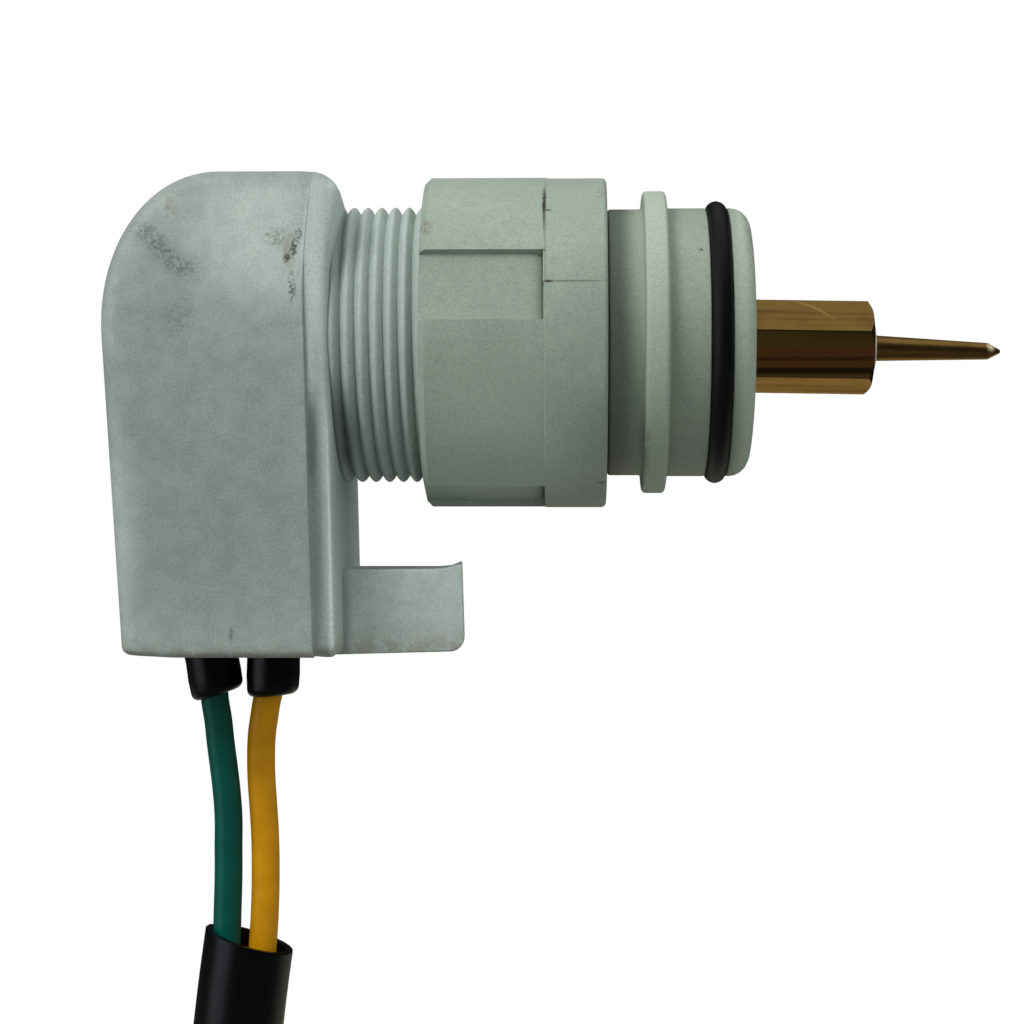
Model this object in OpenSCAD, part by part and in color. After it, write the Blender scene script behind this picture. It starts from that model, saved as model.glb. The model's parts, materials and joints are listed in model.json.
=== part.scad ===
// Flame sensor probe: a right-angle plug housing on a union nut, with a sealed plug sleeve,
// a brass two-pole probe and a short two-wire lead in a black sleeve.
// The probe axis is X, with X = 0 on the front face of the collar and +X towards the tip.
// Z is up and the lead leaves the housing downwards. All sizes are in millimetres.

/* [Elbow housing] */
// How far the elbow's flat sides stand outside the thread
housing_side = 0.75; // [0.5:0.05:4]
// Height of the elbow's top above the probe axis
housing_top = 16.8; // [16:0.1:24]
// Depth of the elbow's bottom below the probe axis
housing_drop = 33.7; // [30:0.1:50]
// Depth of the rear cover behind the seam, at the probe axis
cover_depth = 21.3; // [19:0.1:32]
// Thickness of the front plate, at the probe axis
plate_t = 2.9; // [2.6:0.1:5]
// Radius of the cover's top rear corner
corner_r = 14.4; // [8:0.2:15]
// Rounding of the cover's long edges
edge_r = 2; // [1:0.1:2.2]
// Rounding of the cover's bottom edges
bottom_r = 0.8; // [0.5:0.1:2]
// Rounding of the front plate's edges
plate_round = 1.3; // [1:0.1:2.5]
// How far the plate stands inside the cover's outline
plate_inset = 0.45; // [0.1:0.05:0.8]
// Lean of the rear wall, in degrees
rear_lean = 3.7; // [0:0.1:5]
// Lean of the seam between cover and plate, in degrees
seam_lean = 1.7; // [0:0.1:2.5]
// Wall of the cover
housing_wall = 2; // [1.6:0.1:2.4]
// Depth of the plate's rim inside the cover
rim_l = 2.3; // [1.5:0.1:2.5]
// Thickness of the plate's rim
rim_t = 1.4; // [1:0.1:1.8]
// Thickness of the gasket cord in the seam
seam_cord = 1; // [0.8:0.1:1.2]

/* [Locating lug] */
// Reach of the lug in front of the plate
lug_l = 13.4; // [6:0.1:18]
// Height of the lug
lug_h = 8.5; // [5:0.1:10]
// Width of the lug
lug_w = 14; // [8:0.2:27]
// Rise of the lug's underside above the elbow's bottom
lug_rise = 0.5; // [0.4:0.1:1.5]
// Rounding of the lug's front corners
lug_round = 1.1; // [0.5:0.1:2]
// Height of the lip at the lug's end
lug_lip = 0.6; // [0.2:0.1:1.2]
// Draft of the lug's end, in degrees
lug_draft = 3; // [0:0.5:5]

/* [Threaded spigot] */
// Outside diameter of the spigot's thread
thread_d = 30; // [29.6:0.2:31]
// Length of thread that shows behind the nut
thread_exposed = 9; // [5:0.5:14]
// Wall of the spigot under its thread
spigot_wall = 3.5; // [3:0.1:4]
// Width of the ledge in the bore that stops the socket block
block_ledge = 1; // [0.6:0.1:1.6]
// Distance of that ledge in front of the plate
ledge_t = 3; // [2:0.1:5]

/* [Union nut] */
// Wall of the nut's front band outside its thread
nut_wall = 2.8; // [2.4:0.1:5]
// Length of the nut
nut_l = 19.5; // [18.5:0.5:24]
// Length of the nut's front band
nut_band_l = 6.7; // [5:0.1:8]
// Step from the band down to the notched part, on the radius
nut_step = 0.15; // [0.05:0.05:0.4]
// Reach of the nut's front lip inside its thread
lip_reach = 1.9; // [1.4:0.1:2.6]
// Thickness of the nut's front lip
nut_lip_t = 3; // [2:0.1:4]
// Rounding of the nut's front end
nut_round = 0.5; // [0.4:0.1:1.3]
// Chamfer of the nut's rear end
nut_chamfer = 0.6; // [0.2:0.1:1]
// Number of spanner notches
notch_count = 4; // [2:1:6]
// Width of a spanner notch
notch_w = 7.4; // [5:0.2:9]
// Depth of a spanner notch at its middle
notch_depth = 0.9; // [0.6:0.05:1.2]
// Angle of the first notch above the side of the nut, in degrees
notch_angle = 16.3; // [0:0.1:45]

/* [Plug sleeve] */
// Wall of the neck round the retaining bush
neck_wall = 1.46; // [1.2:0.02:2.5]
// Length of the neck between nut and collar
neck_l = 3.9; // [3:0.1:6]
// Reach of the collar outside the neck
collar_reach = 1.95; // [1.5:0.05:3.5]
// Thickness of the collar
collar_t = 2.5; // [1.8:0.1:4]
// Rounding of the collar's edges
collar_round = 0.45; // [0.2:0.05:0.8]
// How far the plug stands outside the neck
sleeve_step = 0.1; // [0:0.05:1]
// Length of the plug in front of the collar
sleeve_l = 9.1; // [8.8:0.1:14]
// Rounding of the plug's front edge
sleeve_round = 1.1; // [0.4:0.1:1.3]
// Thickness of the plug's front wall
front_wall = 5; // [4:0.1:6]
// Distance of the O-ring's centre from the collar
o_ring_x = 5.5; // [4.6:0.1:6]
// Cord diameter of the O-ring
o_ring_cord = 2.3; // [2:0.1:2.6]
// How far the O-ring stands proud of the plug
o_ring_proud = 0.75; // [0.4:0.05:1]
// Wall of the retaining bush
bush_wall = 2.5; // [2:0.1:3.5]
// Depth to which the bush sits in the sleeve, in front of the collar's back
bush_seat = 3.5; // [2:0.1:4]
// Thickness of the bush's flange
flange_t = 2.6; // [2:0.1:3.5]
// Thickness of the slip ring under the nut's lip
thrust_t = 0.8; // [0.5:0.1:1.2]
// Thickness of the flat gasket between spigot and flange
face_gasket_t = 1.5; // [1:0.1:2]
// Width of the key that stops the elbow from turning
key_w = 4; // [3:0.1:6]
// Length of the key behind the gasket
key_l = 2.5; // [1.5:0.1:4]

/* [Brass probe] */
// Size of the brass hexagon across its flats
hex_af = 9; // [8.6:0.1:13]
// Length of the brass hexagon
hex_l = 13.4; // [8:0.1:20]
// Turn of the hexagon about the probe axis, in degrees
hex_turn = 13.4; // [0:0.2:60]
// Diameter of the holder's shank behind the hexagon
holder_d = 8; // [7.4:0.1:8.4]
// Size across the flats of the lock nut behind the front wall
lock_af = 12; // [11:0.1:14]
// Thickness of the lock nut
lock_t = 4; // [2.5:0.1:5]
// Thickness of the washer under the lock nut
washer_t = 0.8; // [0.5:0.1:1.2]
// Outside diameter of the insulating bush
bush_d = 5.2; // [4.6:0.1:5.4]
// How far the insulating bush shows in front of the hexagon
bush_show = 0.4; // [0.1:0.05:1]
// How far the insulating bush shows behind the holder
bush_tail = 0.5; // [0.3:0.1:1]
// Diameter of the pin where it leaves the bush
pin_root_d = 2.8; // [2.2:0.1:3]
// Diameter of the pin just behind its point
pin_tip_d = 1.8; // [1.2:0.1:2]
// Length of the pin in front of the bush
pin_l = 13.7; // [8:0.1:25]
// Length of the pin's point
point_l = 1.35; // [0.8:0.05:2.5]
// Diameter of the pin inside the bush and the socket
tail_d = 2.5; // [2:0.1:2.7]

/* [Contacts] */
// Wall of the spring contact round the holder's tail
spring_wall = 1; // [0.6:0.1:1.3]
// Length of the spring contact's fingers
finger_l = 10.5; // [8:0.5:11]
// Width of the slits between the fingers
slit_w = 0.8; // [0.5:0.1:1.2]
// Outside diameter of the centre socket
socket_d = 4.4; // [3.8:0.1:4.8]
// Length of the centre socket
socket_l = 10.5; // [8.5:0.5:12]

/* [Lead] */
// Diameter of each insulated wire
wire_d = 3.1; // [2.4:0.1:3.2]
// Outside diameter of the black sleeve round the wires
sheath_d = 9.9; // [9.6:0.1:11]
// Wall of the black sleeve
sheath_wall = 0.8; // [0.5:0.1:0.9]
// Slant of the sleeve's upper cut, in degrees
mouth_slant = 8; // [0:1:15]
// Outside diameter of the rubber boots
boot_d = 5.9; // [5:0.1:6.2]
// Length of the boots below the elbow
boot_show = 4.3; // [3:0.1:8]
// Distance between the two boots
boot_pitch = 7; // [6.9:0.1:9]
// Distance of the front boot behind the seam
boot_inset = 5.1; // [5:0.1:6]
// Length of the lead from the elbow to the connector
lead_l = 163.3; // [120:0.1:250]

/* [Connector] */
// Width of the two-way connector
plug_w = 12.4; // [11.6:0.2:16]
// Depth of the two-way connector
plug_d = 7.6; // [6.8:0.2:10]
// Length of the two-way connector
plug_l = 20; // [16:0.5:28]
// Distance between the two ways
way_pitch = 5; // [4.8:0.1:5.4]
// Side of each square way
way_side = 3.6; // [3.4:0.1:4]
// Thickness of the connector's latch
latch_t = 1.2; // [0.8:0.1:1.6]

/* [Clearances] */
// Radial clearance of turning and sliding fits
running_gap = 0.1; // [0.05:0.01:0.15]
// Axial clearance between the nut and the neck's end
nut_gap = 0.15; // [0.1:0.05:0.3]
// Clearance of pieces that are glued or pressed together
seat_gap = 0.04; // [0.02:0.01:0.08]
// Clearance between the contacts and what they grip
contact_gap = 0.05; // [0.03:0.01:0.08]
// Clearance round the key and between loose faces
key_gap = 0.2; // [0.1:0.05:0.4]

/* [Hidden] */
$fn = 64;
form_fn = 32;
wire_sides = 8;
sheath_sides = 12;

// Overrun of a cut past the face that it opens
over = 1;

// Width of the elbow across its flat sides
housing_w = thread_d + housing_side * 2;

// Place of the plate's rim inside the cover, and the land between the rim's end and its gasket
rim_inset = housing_wall + seat_gap;
rim_end = rim_l * 0.75;
cord_inset = rim_inset + seam_cord * 0.7;

// Stations along the probe axis, from the collar's front face back to the rear wall
x_collar_back = -collar_t;
x_nut_front = x_collar_back - neck_l;
x_nut_back = x_nut_front - nut_l;
x_plate = x_nut_back - thread_exposed;
x_seam = x_plate - plate_t;
x_rear = x_seam - cover_depth;

// Stations inside the nut
x_lip_back = x_nut_front - nut_lip_t;
x_flange_front = x_lip_back - running_gap - thrust_t;
x_flange_back = x_flange_front - flange_t;
x_gasket_back = x_flange_back - face_gasket_t;
x_spigot_end = x_gasket_back - running_gap;

// Radii of the thread, the nut and the pieces inside it, all worked out from the thread
thread_r = thread_d / 2;
spigot_bore_r = thread_r - spigot_wall;
nut_bore_r = thread_r + running_gap;
nut_r = nut_bore_r + nut_wall;
nut_back_r = nut_r - nut_step;
notch_floor = nut_back_r - notch_depth;
flange_r = nut_bore_r - key_gap;
lip_bore_r = nut_bore_r - lip_reach;
bush_shank_r = lip_bore_r - key_gap;
plug_bore_r = bush_shank_r - bush_wall;
neck_r = bush_shank_r + seat_gap + neck_wall;
collar_r = neck_r + collar_reach;
plug_r = neck_r + sleeve_step;

// Groove and ring of the plug's seal
groove_floor_r = plug_r + o_ring_proud - o_ring_cord;
groove_w = o_ring_cord * 1.2;

// Stations of the probe
x_front = sleeve_l;
x_wall_back = x_front - front_wall;
x_hex_front = x_front + hex_l;
x_bush_front = x_hex_front + bush_show;
x_lock_back = x_wall_back - washer_t - lock_t;
x_block_front = x_spigot_end - key_l - key_gap * 2;
x_block_back = x_plate + ledge_t;
x_spring_front = x_block_front - key_gap;
x_spring_back = x_spring_front - finger_l;
x_holder_end = x_spring_back + finger_l * 0.4;
x_bush_end = x_holder_end - bush_tail;
x_socket_front = x_bush_end - key_gap * 3;
x_socket_back = x_socket_front - socket_l;
x_pin_end = x_socket_front - socket_l * 0.6;
holder_r = holder_d / 2;
bush_r = bush_d / 2;
tail_r = tail_d / 2;
spring_in_r = holder_r + contact_gap;
spring_out_r = spring_in_r + spring_wall;
socket_in_r = tail_r + contact_gap;
socket_r = socket_d / 2;
block_r = spigot_bore_r - seat_gap;
seal_cord = 1.2;
chamfer = 0.6;

// Places of the boots, and the sizes that hang on the wire
boot_front_x = x_seam - boot_inset;
boot_rear_x = boot_front_x - boot_pitch;
boot_r = boot_d / 2;
boot_flange_r = boot_pitch / 2 - seat_gap;
boot_flange_t = 2;
wire_r = wire_d / 2;
wire_hole_r = wire_r + contact_gap;
floor_z = -housing_drop + housing_wall;
boot_end_z = -housing_drop - boot_show;
tag_r = (spring_in_r + spring_out_r) / 2;
tag_w = 2.2;
tag_t = spring_wall;
x_tag_end = x_plate - tag_t;
tie_z = floor_z + seat_gap + boot_flange_t / 2;

// Ways of the lead inside the elbow, as shares of the distance across and down to the boot
way_lead_green = [[0.55, 0.08], [0.82, 0.19], [0.96, 0.35], [1, 0.58], [1, 0.8]];
way_lead_yellow = [[0.38, 0.04], [0.8, 0.15], [0.97, 0.32], [1, 0.55], [1, 0.78]];

// Ways of the lead below the elbow: distance across from its boot, and share of the lead's length down
way_green = [[0, 0.0276], [0.3, 0.0361], [0.75, 0.0472], [1.15, 0.0637], [1.5, 0.0802], [1.8, 0.0961],
             [2, 0.1133], [2, 0.1335], [2, 0.1537], [1.9, 0.1764], [1.8, 0.1978], [1.6, 0.2223],
             [1.2, 0.2529], [0.6, 0.2958], [-0.1, 0.3448], [-0.5, 0.3938], [-0.8, 0.4427], [-1, 0.4917],
             [-1.1, 0.5407], [-1.1, 0.5897], [-1.1, 0.6387], [-1.1, 0.6877], [-1.1, 0.7367],
             [-1.1, 0.7857], [-1.1, 0.8347], [-1.1, 0.8836], [-1.5, 0.9326], [-1.9, 0.9755]];
way_yellow = [[0, 0.0276], [-0.3, 0.0349], [-0.85, 0.0441], [-1.25, 0.0557], [-1.4, 0.0716],
              [-1.35, 0.0876], [-1.15, 0.1059], [-0.95, 0.1274], [-0.9, 0.1488], [-0.95, 0.1702],
              [-1.2, 0.1978], [-1.7, 0.2284], [-2.3, 0.259], [-3, 0.3019], [-3.6, 0.3509], [-4, 0.3999],
              [-4.3, 0.4489], [-4.5, 0.4979], [-4.5, 0.5468], [-4.5, 0.5958], [-4.5, 0.6448],
              [-4.5, 0.6938], [-4.5, 0.7428], [-4.5, 0.7918], [-4.5, 0.8408], [-4.5, 0.8898],
              [-4.2, 0.9326], [-3.9, 0.9755]];

// Way of the black sleeve, from the middle between the boots
way_sheath = [[0.8, 0.1953], [0.2, 0.2223], [-0.4, 0.2529], [-1.2, 0.2958], [-1.9, 0.3448],
              [-2.4, 0.406], [-2.7, 0.4795], [-2.8, 0.5591], [-2.8, 0.6509], [-2.8, 0.7428],
              [-2.8, 0.8347], [-2.8, 0.9143]];

// Place of the connector at the end of the lead
boot_mid_x = (boot_front_x + boot_rear_x) / 2;
connector_shift = -2.9;
connector_x = boot_mid_x + connector_shift;
connector_top = -housing_drop - lead_l;

// Small sizes of the connector: corner rounding, rear step and the metal of its terminals
plug_round = 0.8;
plug_step = 0.6;
terminal_t = 0.4;

// Finishes, as the photographed piece shows them
shell_colour = "#a3b0a6";
nut_colour = "#a0ada2";
brass_colour = "#c08a3e";
black_colour = "#202224";
white_colour = "#ecebe4";
green_colour = "#00604f";
yellow_colour = "#c08a10";

// Turns a solid that stands along Z so that it lies along X
module along_x() {
    rotate([0, 90, 0]) children();
}

// Solid of revolution about the probe axis, from a profile of radius across and station up
module turned() {
    along_x() rotate_extrude() children();
}

// Profile of a band between two radii and two stations, with its outer corners rounded
module band(r_in, r_out, x0, x1, round0 = 0, round1 = 0) {
    widest = max(round0, round1);
    translate([r_in, x0]) square([r_out - r_in - widest, x1 - x0]);
    translate([r_in, x0 + round0]) square([r_out - r_in, x1 - x0 - round0 - round1]);
    if (round0 > 0) translate([r_out - round0, x0 + round0]) circle(round0);
    if (round1 > 0) translate([r_out - round1, x1 - round1]) circle(round1);
}

// Straight ring about the probe axis
module ring(r_in, r_out, x0, x1) {
    turned() translate([r_in, x0]) square([r_out - r_in, x1 - x0]);
}

// Hexagonal nut blank about the probe axis, with its end corners turned off
module hex_blank(af, x0, x1) {
    corner_r0 = af / sqrt(3);
    intersection() {
        translate([x0, 0, 0]) along_x() rotate(hex_turn) cylinder(r = corner_r0, h = x1 - x0, $fn = 6);
        turned() polygon([[0, x0], [af / 2, x0], [corner_r0, x0 + (corner_r0 - af / 2) / 2],
                          [corner_r0, x1 - (corner_r0 - af / 2) / 2], [af / 2, x1], [0, x1]]);
    }
}

// Rounding of an edge of the elbow, moved in by an inset
function inner_round(inset, r = edge_r) = max(r - inset / 2, r * 0.3);

// Place along X of the rear wall at a height, moved in by an inset
function rear_x(z, inset) = x_rear - z * tan(rear_lean) + inset / cos(rear_lean);

// Round form of the elbow, moved in on every side by an inset and reaching forward to x_to
module elbow_form(inset, x_to) {
    r = inner_round(inset);
    low_r = inner_round(inset, bottom_r);
    big = corner_r - inset;
    half_w = housing_w / 2 - inset;
    top = housing_top - inset;
    bottom = -housing_drop + inset;
    big_z = top - big;
    big_x = rear_x(big_z, inset) + big / cos(rear_lean);
    low_z = bottom + low_r;
    low_x = rear_x(low_z, inset) + low_r / cos(rear_lean);
    hull() {
        for (side = [-1, 1]) {
            translate([big_x, side * (half_w - r), big_z]) rotate([90, 0, 0])
                rotate_extrude($fn = form_fn * 2) translate([big - r, 0]) circle(r, $fn = form_fn / 2);
            translate([low_x, side * (half_w - low_r), low_z]) sphere(low_r, $fn = form_fn);
            for (end = [[r, top - r], [low_r, low_z]])
                translate([x_to - r, side * (half_w - end[0]), end[1]]) along_x()
                    cylinder(r = end[0], h = r, $fn = form_fn);
        }
    }
}

// Slab that leans with the seam, from a depth behind it to a height in front of it
module seam_slab(from, to) {
    size = housing_w + housing_top + housing_drop;
    translate([x_seam, 0, 0]) rotate([0, -seam_lean, 0])
        translate([from, -size, -size]) cube([to - from, size * 2, size * 2]);
}

// Rear half of the elbow: a moulded shell with two holes for the boots
module rear_cover() {
    color(shell_colour) difference() {
        intersection() {
            elbow_form(0, x_plate);
            seam_slab(-cover_depth * 2, 0);
        }
        elbow_form(housing_wall, x_plate + over);
        for (x = [boot_front_x, boot_rear_x])
            translate([x, 0, -housing_drop - over])
                cylinder(r = boot_r + seat_gap, h = housing_wall + over * 2);
    }
}

// Outline of the plate from behind the seam to its front, with rounded front corners
module plate_outline(low, high) {
    depth = plate_t * 2;
    flat = x_plate - plate_round;
    translate([flat - depth, low]) square([depth, high - low]);
    translate([flat - depth, low + plate_round]) square([depth + plate_round, high - low - plate_round * 2]);
    for (side = [low + plate_round, high - plate_round]) translate([flat, side]) circle(plate_round);
}

// Plate that closes the elbow's front, rounded along its four front edges
module plate_form() {
    half_w = housing_w / 2 - plate_inset;
    low = -housing_drop + plate_inset;
    high = housing_top - plate_inset;
    intersection() {
        translate([0, half_w, 0]) rotate([90, 0, 0]) linear_extrude(half_w * 2) plate_outline(low, high);
        translate([0, 0, low]) linear_extrude(high - low) plate_outline(-half_w, half_w);
        mouth_prism(plate_inset);
        seam_slab(0, plate_t * 4);
    }
}

// Straight prism with the elbow's rounded section, moved in by an inset, on both sides of the seam
module mouth_prism(inset) {
    w = housing_w - inset * 2;
    h = housing_top + housing_drop - inset * 2;
    reach = rim_l * 2 + plate_t;
    translate([x_seam - reach, 0, (housing_top - housing_drop) / 2]) rotate([90, 0, 90])
        linear_extrude(reach * 2) rounded_plate(w, h, inner_round(inset));
}

// Frame between two insets of the elbow's section, from one distance behind the seam to another
module mouth_frame(inset_out, inset_in, from, to) {
    intersection() {
        difference() {
            mouth_prism(inset_out);
            mouth_prism(inset_in);
        }
        seam_slab(from, to);
    }
}

// Lug under the spigot that locates the elbow on the burner, with a small lip at its end
module lug() {
    low = -housing_drop + lug_rise;
    root = x_plate - plate_round;
    tip = x_plate + lug_l;
    high = low + lug_h;
    draft = lug_h * tan(lug_draft);
    translate([0, lug_w / 2, 0]) rotate([90, 0, 0]) linear_extrude(lug_w) {
        polygon([[root, low], [tip - lug_round, low], [tip, low + lug_round], [tip - draft, high + lug_lip],
                 [tip - draft - lug_lip, high + lug_lip], [tip - draft - lug_lip * 4, high], [root, high]]);
        intersection() {
            translate([tip - lug_round, low + lug_round]) circle(lug_round);
            translate([tip - lug_round, low]) square(lug_round);
        }
    }
}

// Front half of the elbow: plate, rim, hollow threaded spigot, key slot and locating lug
module front_body() {
    color(shell_colour) difference() {
        union() {
            plate_form();
            mouth_frame(rim_inset, rim_inset + rim_t, -rim_l, plate_t / 2);
            lug();
            turned() polygon([[0, x_plate - over], [thread_r, x_plate - over],
                              [thread_r, x_spigot_end - chamfer], [thread_r - chamfer, x_spigot_end],
                              [0, x_spigot_end]]);
        }
        translate([x_block_back, 0, 0]) along_x()
            cylinder(r = spigot_bore_r, h = x_spigot_end - x_block_back + over);
        translate([x_seam - rim_l - over, 0, 0]) along_x()
            cylinder(r = spigot_bore_r - block_ledge, h = x_block_back - x_seam + rim_l + over * 2);
        key(key_gap, over);
        mouth_frame(0, cord_inset, -rim_l + rim_end - seam_cord, -rim_l + rim_end);
    }
}

// Key on the retaining bush, or the slot for it with a gap all round and open ends
module key(gap = 0, open = 0) {
    x_from = x_spigot_end - key_l - gap;
    low = spigot_bore_r - gap;
    high = flange_r - chamfer + gap + open;
    translate([x_from, -key_w / 2 - gap, low])
        cube([x_flange_back - x_from + open, key_w + gap * 2, high - low]);
}

// Square-section gasket in the rim's groove, against the inside of the cover
module seam_gasket() {
    color(black_colour) mouth_frame(housing_wall + seat_gap / 2, cord_inset - seat_gap / 2,
        -rim_l + rim_end - seam_cord + seat_gap, -rim_l + rim_end - seat_gap);
}

// Union nut with a front band, an inner lip and open spanner notches at the rear
module union_nut() {
    x_band = x_nut_front - nut_band_l;
    color(nut_colour) difference() {
        turned() {
            polygon([[lip_bore_r, x_nut_back], [nut_back_r - nut_chamfer, x_nut_back],
                     [nut_back_r, x_nut_back + nut_chamfer], [nut_back_r, x_band], [lip_bore_r, x_band]]);
            band(lip_bore_r, nut_r, x_band, x_nut_front, 0, nut_round);
        }
        translate([x_nut_back - over, 0, 0]) along_x()
            cylinder(r = nut_bore_r, h = x_lip_back - x_nut_back + over);
        for (i = [0:notch_count - 1])
            rotate([90 - notch_angle + i * 360 / notch_count, 0, 0])
                translate([x_nut_back - over, -notch_w / 2, notch_floor])
                    cube([x_band - nut_step - x_nut_back + over, notch_w, notch_depth + over]);
    }
}

// Slip ring between the nut's lip and the bush's flange
module thrust_ring() {
    color(white_colour)
        ring(bush_shank_r + seat_gap, flange_r - key_gap, x_flange_front, x_flange_front + thrust_t);
}

// Plug sleeve with neck, collar, seal groove and a front wall drilled for the probe
module plug_sleeve() {
    x_neck = x_nut_front + nut_gap;
    x_seat = x_collar_back + bush_seat;
    color(shell_colour) difference() {
        turned() {
            band(0, neck_r, x_neck, x_collar_back + collar_round);
            band(0, collar_r, x_collar_back, 0, collar_round, collar_round);
            band(0, plug_r, -collar_round, x_front, 0, sleeve_round);
        }
        ring(groove_floor_r, plug_r + over, o_ring_x - groove_w / 2, o_ring_x + groove_w / 2);
        translate([x_neck - over, 0, 0]) along_x()
            cylinder(r = bush_shank_r + seat_gap, h = x_seat - x_neck + over);
        translate([x_neck, 0, 0]) along_x() cylinder(r = plug_bore_r, h = x_wall_back - x_neck);
        translate([x_neck, 0, 0]) along_x() cylinder(r = holder_r + seat_gap, h = x_front - x_neck + over);
        ring(holder_r, holder_r + seal_cord, x_front - seal_cord, x_front + over);
    }
}

// Bush that traps the nut on the sleeve, with the key that holds the elbow square
module retaining_bush() {
    color(shell_colour) {
        ring(plug_bore_r, bush_shank_r, x_flange_front - flange_t / 2, x_collar_back + bush_seat);
        ring(plug_bore_r, flange_r, x_flange_back, x_flange_front);
        intersection() {
            key(0, flange_t / 2);
            ring(spigot_bore_r, flange_r - chamfer, x_spigot_end - key_l, x_flange_back + flange_t / 2);
        }
    }
}

// Flat gasket that seals the spigot's end against the flange
module face_gasket() {
    color(black_colour) difference() {
        ring(spigot_bore_r, flange_r - chamfer, x_gasket_back, x_flange_back);
        key(seat_gap, over);
    }
}

// Rubber ring that seals the plug in its port
module o_ring() {
    color(black_colour) turned()
        translate([groove_floor_r + o_ring_cord / 2, o_ring_x]) circle(o_ring_cord / 2);
}

// Brass holder: hexagon, shank through the front wall and a hollow tail for the spring contact
module hex_holder() {
    color(brass_colour) difference() {
        union() {
            hex_blank(hex_af, x_front, x_hex_front);
            ring(0, holder_r, x_holder_end, x_front + over);
        }
        translate([x_holder_end - over, 0, 0]) along_x()
            cylinder(r = bush_r + seat_gap, h = x_hex_front - x_holder_end + over * 2);
    }
}

// Square-section seal under the hexagon
module holder_seal() {
    color(black_colour)
        ring(holder_r + seat_gap, holder_r + seal_cord - seat_gap, x_front - seal_cord + seat_gap, x_front);
}

// Washer under the lock nut
module lock_washer() {
    color("silver") ring(holder_r + seat_gap, lock_af / 2, x_wall_back - washer_t, x_wall_back);
}

// Brass nut that holds the probe in the front wall
module lock_nut() {
    color(brass_colour) difference() {
        hex_blank(lock_af, x_lock_back, x_wall_back - washer_t);
        translate([x_lock_back - over, 0, 0]) along_x()
            cylinder(r = holder_r + seat_gap, h = lock_t + over * 2);
    }
}

// White bush that insulates the pin from the holder
module insulator_bush() {
    color(white_colour) ring(tail_r + seat_gap, bush_r, x_bush_end, x_bush_front);
}

// Pointed brass pin with a straight tail through the bush
module electrode_pin() {
    x_point = x_bush_front + pin_l;
    color(brass_colour) turned() polygon([
        [0, x_pin_end], [tail_r - chamfer / 2, x_pin_end], [tail_r, x_pin_end + chamfer],
        [tail_r, x_bush_front], [pin_root_d / 2, x_bush_front], [pin_tip_d / 2, x_point - point_l],
        [pin_tip_d / 8, x_point], [0, x_point]]);
}

// Insulating block in the spigot that carries both contacts
module socket_block() {
    color(black_colour) difference() {
        ring(socket_r + seat_gap, block_r, x_block_back, x_block_front);
        translate([x_spring_back, 0, 0]) along_x() cylinder(r = spring_out_r + seat_gap, h = finger_l + over);
        translate([x_block_back - over, -tag_w / 2 - seat_gap, -tag_r - tag_t / 2 - seat_gap])
            cube([x_spring_back - x_block_back + over * 2, tag_w + seat_gap * 2, tag_t + seat_gap * 2]);
    }
}

// Slit brass spring that grips the holder's tail, with its solder tag
module spring_contact() {
    color(brass_colour) {
        difference() {
            ring(spring_in_r, spring_out_r, x_spring_back, x_spring_front);
            for (turn = [45, 135])
                rotate([turn, 0, 0]) translate([x_spring_back + finger_l / 4, -slit_w / 2, -spring_out_r * 2])
                    cube([finger_l, slit_w, spring_out_r * 4]);
        }
        translate([x_tag_end, -tag_w / 2, -tag_r - tag_t / 2])
            cube([x_spring_back - x_tag_end + seat_gap * 2, tag_w, tag_t]);
    }
}

// Brass socket for the pin's tail, with a closed rear end for the wire
module centre_socket() {
    color(brass_colour) difference() {
        ring(0, socket_r, x_socket_back, x_socket_front);
        translate([x_pin_end - over, 0, 0]) along_x() cylinder(r = socket_in_r, h = socket_l);
    }
}

// Ring of points round a place on a route in the X-Z plane, tilted across the route by a slant
function ring_points(p, t, r, sides, slant = 0) = [
    for (i = [0:sides - 1])
        let (a = 360 * i / sides, u = r * cos(a))
            [p[0] + u * t[1] + u * tan(slant) * t[0], r * sin(a), p[1] - u * t[0] + u * tan(slant) * t[1]]];

// Unit direction of a route at one of its points
function heading(route, i) =
    let (a = route[max(i - 1, 0)], b = route[min(i + 1, len(route) - 1)], d = b - a)
        d / norm(d);

// Rings of points along a whole route
function tube_points(route, r, sides, slant = 0) = [
    for (i = [0:len(route) - 1])
        each ring_points(route[i], heading(route, i), r, sides, i == 0 ? slant : 0)];

// Triangles between one ring and the next, seen from outside or from inside
function wall_faces(rings, sides, first = 0, inside = false) = [
    for (i = [0:rings - 2], k = [0:sides - 1])
        let (a = first + i * sides + k, b = first + i * sides + (k + 1) % sides, c = b + sides, d = a + sides)
            each (inside ? [[a, b, c], [a, c, d]] : [[a, c, b], [a, d, c]])];

// Closed round tube along a route
module solid_tube(route, r, sides) {
    rings = len(route);
    last = (rings - 1) * sides;
    start_cap = [for (k = [1:sides - 2]) [0, k, k + 1]];
    end_cap = [for (k = [1:sides - 2]) [last, last + k + 1, last + k]];
    polyhedron(tube_points(route, r, sides), concat(wall_faces(rings, sides), start_cap, end_cap));
}

// Open tube along a route, with a wall and a slanted first cut
module hollow_tube(route, r, wall, sides, slant) {
    rings = len(route);
    inner = rings * sides;
    last = (rings - 1) * sides;
    start_rim = [for (k = [0:sides - 1]) let (n = (k + 1) % sides)
        each [[k, n, inner + n], [k, inner + n, inner + k]]];
    end_rim = [for (k = [0:sides - 1]) let (n = (k + 1) % sides)
        each [[last + k, inner + last + n, last + n], [last + k, inner + last + k, inner + last + n]]];
    polyhedron(concat(tube_points(route, r, sides, slant), tube_points(route, r - wall, sides, slant)),
        concat(wall_faces(rings, sides), wall_faces(rings, sides, inner, true), start_rim, end_rim));
}

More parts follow.
